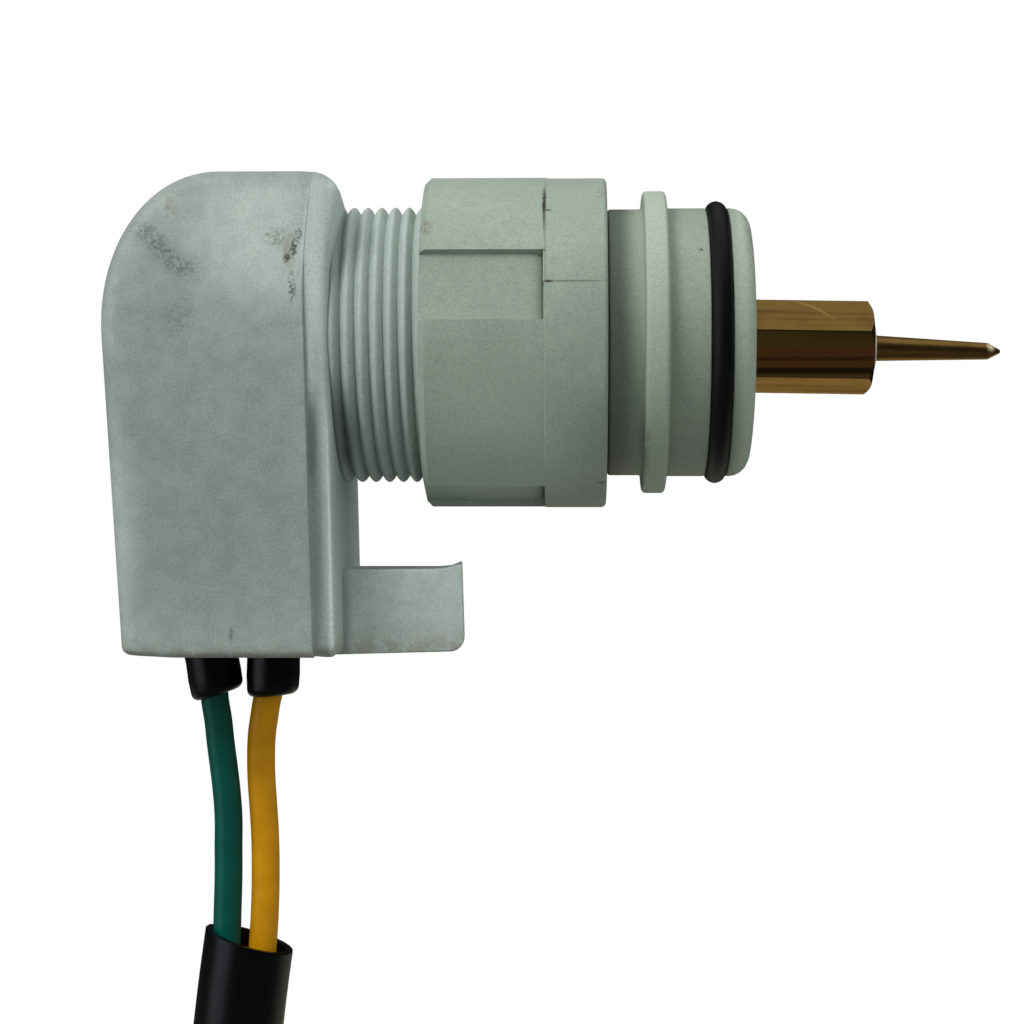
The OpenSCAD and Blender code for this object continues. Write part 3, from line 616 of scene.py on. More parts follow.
def brassy(name, base, tarnish, reflection_bands=(), marks=(), rough=0.1, tip_glint=None):
    """Drawn brass: fine lines along the bar, tarnish in patches, painted reflection stripes by height, marks,
    pits and a painted highlight at one spot.
    """
    finish = Finish(name, Metallic=1.0, Specular_Tint=(0.88, 0.74, 0.55, 1))
    patches = finish.noise(310, 5.0, 0.62)
    drawn = finish.noise(5200, 3.0, 0.6, stretch=(0.06, 1, 1))
    streaks = finish.noise(900, 2.0, 0.5, stretch=(0.03, 1, 1))
    tint = finish.mix(finish.step(patches, 0.4, 0.7, 0.05, 0.6), base, tarnish)
    tint = finish.mix(finish.step(streaks, 0.5, 0.66, 0.0, 0.7), tint, shade(tarnish, 0.6))
    blur = 0.0001
    # Painted reflection: a stripe of colour for each range of heights
    for low, high, paint, strength in reflection_bands:
        height = finish.along("Z")
        inside = finish.step(height, low * MM - blur, low * MM + blur)
        inside = inside * finish.step(height, high * MM + blur, high * MM - blur)
        tint = finish.mix(inside * strength, tint, paint)
    for mark, paint, strength in marks:
        tint = finish.mix(mark(finish) * strength, tint, paint)
    # Painted highlight: a paler, less metallic spot
    if tip_glint:
        glint = tip_glint(finish)
        tint = finish.mix(glint * 0.9, tint, tone("#f3e6c0"))
        finish.paint("Metallic", 1 - 0.9 * glint)
    pits = finish.step(finish.noise(2600, 2.0), 0.7, 0.76, 0.0, 0.7)
    finish.paint("Base Color", finish.mix(pits, tint, shade(tarnish, 0.4)))
    finish.paint("Roughness", rough + 0.1 * patches + 0.08 * drawn)
    finish.bump(drawn, 0.1, 0.00003)
    return finish


def metal(name, base):
    """Plated metal with a soft grain."""
    finish = Finish(name, Metallic=1.0)
    cloud = finish.noise(420, 4.0)
    finish.paint("Base Color", finish.mix(finish.step(cloud, 0.35, 0.7), base, shade(base, 0.72)))
    finish.paint("Roughness", 0.3 + 0.15 * finish.noise(2400, 3.0))
    finish.bump(finish.noise(3800, 2.0), 0.1, 0.00003)
    return finish


def spots(centre, reach, grain=0.0, cover=0.5):
    """A mark round a place, for a finish."""
    return lambda finish: finish.spot(centre, reach, grain, cover)


def smear(path, reach, grain=0.0, cover=0.5):
    """A mark drawn along a path of places, patchy and broken up by a grain."""
    def mark(finish):
        near = finish.spot(path[0], reach)
        for place in path[1:]:
            near = near.math("MAXIMUM", near, finish.spot(place, reach))
        if grain == 0:
            return near
        flecks = finish.noise(grain, 4.0, 0.7) + 0.4 * finish.noise(1100, 3.0) - 0.2
        return finish.broken(near, flecks, cover)
    return mark


def below(level, fade):
    """A mark that fills the piece below a height, broken up by noise."""
    def mark(finish):
        depth = finish.step(finish.along("Z"), level * MM, (level - fade) * MM)
        return depth * finish.step(finish.noise(700, 4.0, 0.65), 0.38, 0.53)
    return mark


def behind(level, fade):
    """A mark that fills the piece behind a place along the probe axis, or before it with a negative fade."""
    return lambda finish: finish.step(finish.along("X"), (level + fade) * MM, (level - fade) * MM)


class PROBE_OT_stage(bpy.types.Operator):
    """Set up the camera, the floor and the soft studio light"""
    bl_idname = "probe.stage"
    bl_label = "Stage"

    def execute(self, context):
        begin()
        lens = bpy.data.cameras.new("Camera")
        lens.sensor_width = 36
        lens.lens = 80.86
        lens.clip_start = 0.01
        camera = bpy.data.objects.new("Camera", lens)
        camera.location = (-0.01031, -0.2523, -0.01788)
        camera.rotation_euler = (math.radians(90 - 0.174), 0, math.radians(1.4446))
        context.scene.collection.objects.link(camera)
        context.scene.camera = camera
        context.scene.view_settings.view_transform = "Standard"
        self.sky(context)
        self.floor()
        self.flag()
        self.ceiling()
        self.lamp("Key softbox", (-0.17, -0.18, 0.19), 0.13, 0.45)
        self.lamp("Overhead softbox", (0.02, -0.05, 0.5), 0.4, 0.4)
        return {"FINISHED"}

    def sky(self, context):
        """White to the eye and to reflections, a soft gradient for the light that falls on the piece."""
        world = bpy.data.worlds.new("Studio")
        world.use_nodes = True
        context.scene.world = world
        studio = Finish("Studio", world.node_tree)
        seen = studio.ray("Camera") + studio.ray("Glossy") + studio.ray("Transmission")
        way = studio.node("ShaderNodeTexCoord", output=0)
        height = studio.node("ShaderNodeSeparateXYZ", {}, {0: way}, output=2)
        light = studio.mix(studio.step(height, -0.25, 0.35), tone("#84847f"), tone("#dcdedd"))
        soft = studio.node("ShaderNodeBackground", {}, {0: light, 1: 1.0})
        white = studio.node("ShaderNodeBackground", {}, {0: (1, 1, 1, 1), 1: 1.0})
        studio.surface(studio.node("ShaderNodeMixShader", {}, {0: seen, 1: soft, 2: white}))

    def floor(self):
        """Pale round floor below the hanging lead, white to the eye and duller in the light it throws up."""
        begin()
        bpy.ops.mesh.primitive_circle_add(vertices=96, radius=0.62, fill_type="NGON",
                                          location=(-0.02, 0, -0.228))
        ground = added("Floor")
        paper = Finish("Floor paper")
        seen = paper.ray("Camera") + paper.ray("Transmission")
        glow = paper.node("ShaderNodeEmission", {}, {0: (1, 1, 1, 1), 1: 0.62})
        # Painted reflection: glossy rays see a glow of the floor's own instead of its lit paper, dark on the
        # camera's side and warm beyond it
        near = paper.step(paper.along("Y"), 0.18, 0.03)
        level = paper.mix(near, (0.42, 0.39, 0.32), (0.085, 0.08, 0.075))
        mirrored = paper.node("ShaderNodeEmission", {}, {0: level, 1: 1.0})
        dull = paper.node("ShaderNodeBsdfDiffuse", {}, {0: (0.3, 0.3, 0.3, 1)})
        pale = paper.node("ShaderNodeBsdfDiffuse", {}, {0: (0.5, 0.5, 0.5, 1)})
        bright = paper.node("ShaderNodeAddShader", {}, {0: glow, 1: pale})
        both = paper.node("ShaderNodeMixShader", {}, {0: seen, 1: dull, 2: bright})
        paper.surface(paper.node("ShaderNodeMixShader", {}, {0: paper.ray("Glossy"), 1: both, 2: mirrored}))
        paper.on(ground)

    def flag(self):
        """Dark curved flag round the piece, open at one window, that only shows in reflections."""
        begin()
        bpy.ops.mesh.primitive_cylinder_add(vertices=90, radius=0.8, depth=1.8, end_fill_type="NOTHING",
                                            location=(0, 0, 0))
        flag = added("Dark_flag")
        edit()
        pick("FACE", self.in_window)
        bpy.ops.mesh.delete(type="FACE")
        settle(flag, outward=False)
        self.dim(flag, lambda room: room.mix(room.step(room.along("Z"), -0.12, -0.3),
                                             tone("#202020"), tone("#565049")))

    def in_window(self, face):
        """Whether a face of the flag lies in its window, to the left in front of the piece."""
        spot = face.calc_center_median()
        return -78 < math.degrees(math.atan2(spot.x, -spot.y)) < -42

    def ceiling(self):
        """Dim ceiling that only shows in reflections."""
        begin()
        bpy.ops.mesh.primitive_circle_add(vertices=90, radius=0.8, fill_type="NGON", location=(0, 0, 0.9))
        ceiling = added("Dim_ceiling")
        self.dim(ceiling, lambda room: room.mix(room.noise(2.2, 2.0), tone("#9c9c98"), tone("#c2c2be")))

    def dim(self, card, level):
        """Gives a card a level of its own and hides it from all but reflections."""
        room = Finish(f"{card.name} glow")
        room.surface(room.node("ShaderNodeEmission", {}, {0: level(room), 1: 1.0}))
        room.on(card)
        card.visible_camera = card.visible_diffuse = card.visible_shadow = False
        card.visible_transmission = card.visible_volume_scatter = False

    def lamp(self, name, place, size, power):
        """Square softbox that faces the piece and stays out of its reflections."""
        light = bpy.data.lights.new(name, "AREA")
        light.shape = "SQUARE"
        light.size = size
        light.energy = power
        lamp = bpy.data.objects.new(name, light)
        lamp.location = place
        aim = Vector((-0.02, 0, -0.015)) - Vector(place)
        lamp.rotation_euler = aim.to_track_quat("-Z", "Y").to_euler()
        lamp.visible_glossy = False
        bpy.context.scene.collection.objects.link(lamp)


class PROBE_OT_connector(bpy.types.Operator):
    """Model the two-way connector at the end of the lead"""
    bl_idname = "probe.connector"
    bl_label = "Connector"

    def execute(self, context):
        low, high = (Vector(c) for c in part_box("connector_housing"))
        half_depth, latch_half = 0.0038, 0.0018
        way_half, way_offset = 0.0018, 0.0025
        rail_half, rail_offset = 0.0004, 0.0055
        middle = Vector(((low.x + high.x) / 2, high.y - half_depth, (low.z + high.z) / 2))
        back = middle.y - half_depth
        step_z = low.z + (high.z - low.z) * 0.7
        housing = box("two_way_connector", (low.x, back, low.z), (high.x, middle.y + half_depth, step_z))
        pick("FACE", lambda f: f.normal.z > 0.9)
        bpy.ops.mesh.inset(thickness=0.0006, depth=0)
        draw_out((0, 0, high.z - step_z))
        bpy.ops.mesh.inset(thickness=0.0009, depth=-0.0007)
        pick("EDGE", self.upright)
        bevel(0.0007, 3)
        pick("EDGE", lambda e: all(v.co.z < low.z + TINY for v in e.verts))
        bevel(0.0004, 2)
        settle(housing, 40)
        for side in (-1, 1):
            x = middle.x + side * way_offset
            way = box("way_cutter", (x - way_half, -way_half, low.z - 0.001),
                      (x + way_half, way_half, low.z + 0.0085))
            pick("EDGE", self.upright)
            bevel(0.0003, 2)
            settle(way)
            applied(housing, "BOOLEAN", operation="DIFFERENCE", object=way)
            bpy.data.objects.remove(way)
        latch = box("latch", (middle.x - latch_half, back - 0.0018, low.z + 0.003),
                    (middle.x + latch_half, back - 0.0007, step_z - 0.0005))
        pick("FACE", lambda f: f.normal.z < -0.9)
        draw_out((0, -0.0005, -0.0018))
        self.eased(latch, 0.00018)
        hinge = self.eased(box("latch_hinge", (middle.x - latch_half, back - 0.0012, step_z - 0.0042),
                               (middle.x + latch_half, back + 0.0004, step_z - 0.0024)), 0.0002)
        rails = []
        for side in (-1, 1):
            x = middle.x + side * rail_offset
            rails.append(self.eased(box("rail", (x - rail_half, back - 0.0007, low.z + 0.001),
                                        (x + rail_half, back + 0.0003, step_z - 0.001)), 0.0002))
        connector = join("two_way_connector", housing, latch, hinge, *rails)
        place_piece(connector, "elbow", "natural_nylon", "connector_housing")
        nylon = moulded("natural nylon", colours().nylon, grain=0.4)
        nylon.shader.inputs["Subsurface Weight"].default_value = 0.15
        nylon.shader.inputs["Subsurface Radius"].default_value = (0.001, 0.0009, 0.0006)
        nylon.on(connector)
        return {"FINISHED"}

    def upright(self, edge):
        """Whether an edge stands more or less upright."""
        return abs(edge.verts[0].co.z - edge.verts[1].co.z) > 0.003

    def eased(self, piece, rounding):
        """Rounds all the edges of the piece in hand and ends it."""
        pick("EDGE", lambda e: True)
        bevel(rounding, 2)
        return settle(piece, 40)


class PROBE_OT_lead(bpy.types.Operator):
    """Lay the two wires, their tails inside the elbow and the black sleeve round them"""
    bl_idname = "probe.lead"
    bl_label = "Lead"

    def execute(self, context):
        s, c = sizes(), colours()
        greens = insulation("green insulation", c.green, shade(c.green, 1.35))
        yellows = insulation("yellow insulation", c.yellow, shade(c.yellow, 1.25))
        for name, route, tail, finish, slot in (
                ("green", GREEN_ROUTE, GREEN_TAIL, greens, "green_insulation"),
                ("yellow", YELLOW_ROUTE, YELLOW_TAIL, yellows, "yellow_insulation")):
            wire = strand(f"{name}_wire", route, s.wire)
            finish.on(wire)
            place_piece(wire, "elbow", slot, f"wire_{name}")
            route[0][0] * MM
            route_length(route)
            inner = strand(f"{name}_tail", tail, s.wire * 0.8)
            finish.on(inner)
            place_piece(inner, "elbow", slot, f"lead_{name}")
        sleeve = self.sleeve(s)
        rubbery("black sleeving", c.sleeving, 0.26, 1100).on(sleeve)
        place_piece(sleeve, "elbow", "black_sleeving", "cable_sheath")
        point(SHEATH_ROUTE[0])
        route_length(SHEATH_ROUTE)
        [tuple(point(p)) for p in SHEATH_ROUTE]
        return {"FINISHED"}

    def sleeve(self, s):
        """Hollow sleeve: a tube along its route, cut on the slant at its mouth and given a wall."""
        first, second = point(SHEATH_ROUTE[0]), point(SHEATH_ROUTE[1])
        way = (first - second).normalized()
        spare = 0.004
        start = first + way * spare
        route = ((start.x / MM, start.z / MM), *SHEATH_ROUTE)
        tube = strand("cable_sleeve", route, s.sheath)
        tube.data.use_fill_caps = False
        tube.data.bevel_resolution = 10
        take(tube)
        bpy.ops.object.convert(target="MESH")
        tube = bpy.context.object
        edit()
        bpy.ops.mesh.remove_doubles(threshold=TINY)
        bpy.ops.mesh.normals_make_consistent(inside=False)
        cut = Matrix.Rotation(s.sheath_slant, 3, "Y") @ way
        bpy.ops.mesh.bisect(plane_co=first, plane_no=cut, clear_outer=True)
        applied(tube, "SOLIDIFY", thickness=s.sheath_wall, offset=-1, use_even_offset=True)
        edit()
        pick("EDGE", lambda e: e.calc_face_angle(0) > 1.0)
        bevel(0.00012, 2)
        return settle(tube, 40, outward=False)


class PROBE_OT_boots(bpy.types.Operator):
    """Model the two rubber boots under the elbow"""
    bl_idname = "probe.boots"
    bl_label = "Boots"

    def execute(self, context):
        s, c = sizes(), colours()
        finish = rubbery("boot rubber", c.sleeving, 0.26, 1000)
        for name, x, lean, cut in (("green", -49.9, 10, 8), ("yellow", -42.9, -1, 6)):
            boot = self.boot(s, f"{name}_boot", x * MM, math.radians(lean), math.radians(cut))
            finish.on(boot)
            place_piece(boot, "elbow", "black_rubber", f"boot_{name}")
        return {"FINISHED"}

    def boot(self, s, name, x, lean, cut):
        """Turned boot with a flange inside the elbow, a leaning free end and a slanted mouth."""
        bore, flange = 0.0016, 0.0034
        base, mouth = -s.drop + s.wall, s.boot_end - 0.0001
        top = base + 0.002
        corners = ((top, bore, 0), (top, flange, 0.0003), (base, flange, 0), (base, s.boot, 0),
                   (-s.drop - 0.0002, s.boot, 0), (-s.drop - 0.0012, s.boot * 0.985, 0),
                   (-s.drop - 0.0028, s.boot * 0.995, 0), (mouth, s.boot * 0.95, 0.0009),
                   (mouth, bore, 0.0003), (top, bore, 0))
        trace(name, [Vector((x + p.y, 0, p.x)) for p in softened(corners)])
        bpy.ops.mesh.spin(steps=56, angle=math.tau, center=(x, 0, 0), axis=(0, 0, 1))
        boot = settle(bpy.context.object, 50)
        edit()
        pick("VERT", lambda v: v.co.z < -s.drop - 0.0001)
        bpy.ops.transform.rotate(value=lean, orient_axis="Y", center_override=(x, 0, -s.drop))
        mouth_x = x + math.tan(lean) * 0.0044
        shape = bmesh.from_edit_mesh(boot.data)
        for v in shape.verts:
            slant = math.tan(cut) * (v.co.x - mouth_x)
            v.co.z += slant * ease(v.co.z, -s.drop - 0.001, s.boot_end + 0.0005)
        bmesh.update_edit_mesh(boot.data)
        return settle(boot, 50)


class PROBE_OT_elbow(bpy.types.Operator):
    """Model the elbow's rear cover, front plate, locating lug and threaded spigot"""
    bl_idname = "probe.elbow"
    bl_label = "Elbow"

    def execute(self, context):
        s, c = sizes(), colours()
        grime_and_shade, smudge = c.grime_and_shade, c.smudge
        shell = c.shell
        cover = self.cover(s)
        place_piece(cover, "elbow", "shell_plastic", "rear_cover")
        # Painted shade: a darker, bluer tint for the lower middle of the near side
        lower_shade = tuple(a * b for a, b in zip(shell, (0.6, 0.63, 0.68)))
        brown = tone("#8b7766")
        moulded("cover plastic", shell, (
            # Painted shade over the lower middle of the near side
            (spots((-49, -15.8, -13), (25, 9, 25)), lower_shade, 0.72),
            # Painted light: a lighter patch low by the rear wall
            (spots((-57.5, -14, -22), (4, 9, 16)), shade(shell, 1.15), 0.7),
            # Painted light: the upper near side lighter by the seam
            (spots((-41, -15.8, 11), (10, 5, 10)), shade(shell, 1.32), 0.9),
            # Painted shade along the top edge and the round rear corner
            (self.rim_shade, shade(shell, 0.66), 1.0),
            (smear(SMUDGE_PATH, (2.6, 4, 2.2)), smudge, 0.17),
            (smear(SMUDGE_PATH, (1.5, 4, 1.3), 3300, 0.5), shade(smudge, 0.45), 0.65),
            (spots((-53, -15.5, 4), (6, 4, 8)), smudge, 0.25),
            (spots((-50.5, -15.5, 1.5), (3, 4, 2.5), 2100, 0.4), shade(smudge, 0.8), 0.35),
            (spots((-51.6, -15.5, 13), (0.9, 3, 2), 2300, 0.45), brown, 0.5),
            (spots((-40.6, -15.7, 9.8), (1.9, 1.2, 1.4), 2500, 0.42), shade(grime_and_shade, 0.8), 0.5),
            (spots((-39.2, -15.7, 8.6), (1.1, 1.2, 2.6), 1700, 0.7), brown, 0.5),
            (smear(STAIN_PATH, (0.55, 1.2, 0.8), 2600, 0.66), shade(grime_and_shade, 0.25), 0.85),
            (spots((-39, -15.7, 4.6), (0.55, 1.2, 2.3), 2600, 0.5), shade(grime_and_shade, 0.4), 0.8),
            (spots((-45.3, -15.7, -31.3), (0.3, 1, 1.2), 5000, 0.7), shade(grime_and_shade, 0.4), 0.5),
            (below(-31.6, 2.4), brown, 0.5)), worn=0.45).on(cover)
        plate = self.plate(s)
        place_piece(plate, "elbow", "shell_plastic", "front_body")
        stain = (below(-30.6, 3), brown, 0.4)
        # Painted light: the plate takes a lighter copy of the housing colour, with painted light and shade
        # marks below
        body = moulded("body plastic", shade(shell, 1.04), (
            # Painted light on the upper rib by the seam
            (spots((-36.5, -15, 9), (2.2, 3, 13)), shade(shell, 1.35), 0.9),
            # Painted shade in the valley beside the lower seam
            (spots((-36.55, -15.2, -20), (1, 3, 22)), shade(shell, 0.62), 0.7),
            # Painted light on the front face
            (behind(-35.3, -0.3), shade(shell, 1.4), 1.0),
            # Painted shade along the top front edge
            (spots((-36.3, -12, 17), (3, 30, 2.2)), shade(shell, 0.72), 0.95),
            # Painted shade, deeper, in the valley by the seam
            (spots((-37.1, -15.2, -11.5), (0.9, 3, 7)), shade(shell, 0.32), 0.65), stain))
        lug = self.lug(s)
        place_piece(lug, "elbow", "shell_plastic")
        # Painted light: the lug takes a much lighter copy of the housing colour, with painted shade at its
        # root
        moulded("lug plastic", shade(shell, 1.3), (
            stain, (spots((-34.8, -7, -29), (1.5, 3, 12)), shade(shell, 0.5), 0.6)),
            grain=1.8, worn=0.45).on(lug)
        spigot = self.spigot(s)
        place_piece(spigot, "elbow", "shell_plastic")
        body.on(plate)
        # Painted light: a lighter copy of the housing colour, with painted shade on the turns next to the
        # plate and below
        moulded("thread plastic", shade(shell, 1.08), (
            (behind(-34.2, 0.4), shade(shell, 0.7), 0.6),
            (spots((-34.4, -11, -11), (2.6, 9, 9)), shade(shell, 0.42), 0.8))).on(spigot)
        return {"FINISHED"}

    def rim_shade(self, finish):
        """Painted shade along the cover's top edge and round rear corner, which take less light than its flat
        side.
        """
        across = (finish.along("X") + 0.047) * (1 / 0.0128)
        across = across.math("MINIMUM", across, 0.0)
        height = finish.along("Z")
        above = (height + 0.0002) * (1 / 0.017)
        return finish.step(across * across + above * above, 0.72, 0.95) * finish.step(height, 0.0, 0.007)

    def cover(self, s):
        """Rear shell: a leaning block with a large round corner and soft edges, opened and given a wall."""
        cover = box("elbow_cover", (s.rear_x, -s.half_width, -s.drop), (s.seam_x, s.half_width, s.top))
        for x, lean in ((s.rear_x, s.rear_lean), (s.seam_x, s.seam_lean)):
            for z in (-s.drop, s.top):
                shift((-z * math.tan(lean), 0, 0),
                      lambda v: abs(v.co.x - x) < TINY and abs(v.co.z - z) < TINY)
        pick("EDGE", lambda e: all(v.co.x < s.rear_x and v.co.z > 0 for v in e.verts))
        # The rear wall leans, so the bevel takes a little more than the corner's height
        bevel(s.corner * 1.066, 30)
        shape = bmesh.from_edit_mesh(cover.data)
        for v in shape.verts:
            rear = s.rear_x - v.co.z * math.tan(s.rear_lean)
            if v.co.z > -0.005 and v.co.x < s.seam_x - 0.002:
                v.co.x = rear + (v.co.x - rear) * s.corner_width / s.corner
        bmesh.update_edit_mesh(cover.data)
        seam, low = s.seam_x - 0.004, -s.drop + 1e-5
        pick("EDGE", lambda e: any(v.co.x < seam for v in e.verts) and e.calc_face_angle(0) > 0.6
             and any(v.co.z > low for v in e.verts))
        bevel(s.edge, 8)
        pick("EDGE", lambda e: any(v.co.x < seam for v in e.verts) and e.calc_face_angle(0) > 0.6
             and all(v.co.z < low for v in e.verts))
        bevel(s.bottom_edge, 5)
        pick("FACE", lambda f: f.normal.x > 0.9)
        bpy.ops.mesh.delete(type="FACE")
        settle(cover)
        applied(cover, "SOLIDIFY", thickness=s.wall, offset=-1, use_even_offset=True)
        edit()
        lip, lip_edge, lip_fall = 0.0017, 0.00022, 0.00032
        pick("EDGE", lambda e: e.calc_face_angle(0) > 1.0 and all(v.co.x > seam for v in e.verts))
        bevel(lip_edge, 3)
        bend = s.seam_x - 0.0137
        slices([((0, 0, z), (0, 0, 1)) for z in SEAM_LEVELS] + [((bend, 0, 0), (1, 0, 0))] + [
            ((s.seam_x - back, 0, 0), (1, 0, math.tan(s.seam_lean))) for back in (0.0005, 0.001, lip)])
        shape = bmesh.from_edit_mesh(cover.data)
        for v in shape.verts:
            back = s.seam_x - v.co.z * math.tan(s.seam_lean) - v.co.x
            fall = lip_fall * max(0.0, 1 - back / lip) ** 2 - 0.8 * max(0.0, lip_edge - back)
            fall *= ease(v.co.z, 0.001, 0.009)
            if abs(v.co.y) > s.half_width - s.edge:
                v.co.y -= math.copysign(fall, v.co.y)
            v.co.z -= 0.3 * fall * ease(v.co.z, s.top - s.edge, s.top - 0.0005)
            v.co.x += self.bow(s, v.co.z) * ease(back, 0.009, 0)
            if v.co.z < -s.drop + 0.003:
                v.co.z = max(v.co.z, -s.drop) + s.bottom_rise * max(0.0, (bend - v.co.x) / (bend - s.rear_x))
        bmesh.update_edit_mesh(cover.data)
        return settle(cover, 30, outward=False)

    def bow(self, s, z):
        """How far the seam bows forward at a height."""
        return s.seam_bow * (max(0.0, z - 0.004) / (s.top - 0.004)) ** 1.5

    def plate(self, s):
        """Front plate: a rounded outline drawn forward from the seam, with a valley beside its lower seam."""
        span = s.plate_x - s.seam_x
        rib = s.plate_inset
        # Share of the way forward, depth of the side there in millimetres, and its depth in the valley
        steps = ((0, 0.1, 0.2), (0.07, 0.08, 0.4), (0.15, 0.06, 0.55), (0.24, 0.03, 0.66), (0.34, 0.01, 0.72),
                 (0.44, 0, 0.72), (0.53, 0, 0.66), (0.61, 0, 0.55), (0.68, 0.02, 0.42), (0.74, 0.05, 0.3),
                 (0.79, 0.1, 0.2), (0.84, 0.17, 0.14), (0.89, 0.28, 0.12), (0.93, 0.43, 0.2),
                 (0.97, 0.68, 0.4), (1, 1.05, 0.75))
        high, low = s.top - rib, -s.drop - 0.00005
        middle = (high + low) / 2
        half_y, half_z = s.half_width - rib, (high - low) / 2
        begin()
        bpy.ops.mesh.primitive_plane_add(size=2, location=(s.seam_x, 0, middle), rotation=(0, math.pi / 2, 0))
        bpy.context.object.scale = (half_z, half_y, 1)
        plate = added("front_plate")
        edit()
        bpy.ops.mesh.select_mode(type="VERT")
        bevel(s.plate_corner, 8, "VERTICES")
        bpy.ops.mesh.select_all(action="SELECT")
        x, inset = s.seam_x, 0.0
        for share, depth, _ in steps:
            place, depth = s.seam_x + span * share, depth * MM
            if share > 0:
                draw_out((place - x, 0, 0))
            factors = [(half - depth) / (half - inset) for half in (half_y, half_z)]
            bpy.ops.transform.resize(value=(1, *factors), center_override=(place, 0, middle))
            x, inset = place, depth
        slices([((0, 0, z), (0, 0, 1)) for z in SEAM_LEVELS + (-0.004, -0.006, -0.008, -0.01, -0.012)]
               + [((0, y, 0), (0, 1, 0)) for y in (-0.01, -0.004, 0.003, 0.01)])
        # How far the sides swell at the seam, how the front face swells, stands back and leans, and how far
        # the far side of the top falls, the seam's top rises and the front's top falls
        side_swell, front_swell, front_back, front_lean = 0.0003, 0.001, 0.00045, 0.026
        far_fall, seam_rise, front_fall = 0.0005, 0.00042, 0.0011
        shape = bmesh.from_edit_mesh(plate.data)
        for v in shape.verts:
            share, z = (v.co.x - s.seam_x) / span, v.co.z
            side = math.copysign(ease(abs(v.co.y), half_y - 0.003, half_y - 0.001), v.co.y)
            v.co.y *= 1 - s.plate_fall / s.half_width * (s.top - z) / (s.top + s.drop)
            step = min(steps, key=lambda row: abs(row[0] - share))
            valley = (step[2] - step[1]) * MM * ease(z, -0.005, -0.0115)
            v.co.y -= side * (valley - side_swell * (1 - share) * ease(z, 0.002, 0.01))
            v.co.x -= (1 - share) * z * math.tan(s.seam_lean) - self.bow(s, z) * ease(share, 1, 0)
            v.co.x += share * (front_swell * ease(z, 0.006, 0.0145) * ease(v.co.y, 0.008, -0.014)
                               - front_back + max(0.0, -z) * front_lean)
            v.co.z -= share * far_fall * ease(v.co.y, 0, 0.014) * ease(z, 0.01, 0.015)
            v.co.z += (seam_rise - front_fall * share) * ease(z, 0.0125, 0.0158)
        bmesh.update_edit_mesh(plate.data)
        return settle(plate, 40)

    def lug(self, s):
        """Locating lug: a block with a rising underside, a drafted end and a small lip."""
        root, tip = s.plate_x - 0.0012, s.plate_x + s.lug_reach
        low = -s.drop + s.lug_rise
        high = low + s.lug_height
        half = s.lug_width / 2
        lug = box("locating_lug", (root, -half, low), (tip, half, high))
        inside = root + 0.001
        end_skew, end_draft = 0.00065, 0.0003
        shift((-end_skew, 0, 0), lambda v: v.co.x > tip - TINY and v.co.y > 0)
        shift((-end_draft, 0, 0), lambda v: v.co.x > inside and v.co.z > high - TINY)
        shift((0, 0, -s.lug_slope), lambda v: v.co.x < inside and v.co.z < low + TINY)
        lip, lip_foot, lip_root = 0.0015, 0.0021, 0.0034
        lip_height, foot_height = 0.0006, 0.00012
        slices([((tip - back, 0, 0), (1, 0, 0)) for back in (lip_foot, lip_root)])
        shift((0, 0, lip_height), lambda v: v.co.x > tip - lip and v.co.z > high - TINY)
        shift((0, 0, foot_height),
              lambda v: abs(v.co.x - tip + lip_foot) < 10 * TINY and v.co.z > high - TINY)
        pick("EDGE", lambda e: all(v.co.x > tip - lip and v.co.z < low + 0.001 for v in e.verts))
        bevel(0.0016, 7)
        pick("EDGE", lambda e: e.calc_face_angle(0) > 0.9 and any(v.co.x > inside for v in e.verts))
        bevel(0.00022, 3)
        return settle(lug, 32)

    def spigot(self, s):
        """Threaded spigot: one thread form with a round crest swept along its helix, over a bored tube."""
        depth = s.thread_depth
        valley = s.thread - depth
        start = s.plate_x - 0.0012
        pitch, parts = s.pitch, 14
        line = [Vector((start + pitch * k / parts, 0, valley + depth * math.sin(math.pi * k / parts)))
                for k in range(parts + 1)]
        thread = trace("spigot_thread", line)
        take(thread)
        freeze()
        turns = int((s.spigot_end - start) / pitch) - 1
        applied(thread, "SCREW", axis="X", angle=math.tau, screw_offset=pitch, iterations=turns, steps=128,
                render_steps=128, use_merge_vertices=False)
        settle(thread, 60)
        wall = valley - 0.0001
        tube = turn("spigot_tube", (
            (start, wall, 0), (s.spigot_end - 0.0009, wall, 0), (s.spigot_end, valley - 0.0006, 0),
            (s.spigot_end, s.spigot_bore, 0.0002), (start, s.spigot_bore, 0)), 128, ring=True)
        return lowered(join("spigot_thread", thread, tube), s.spigot_sag)


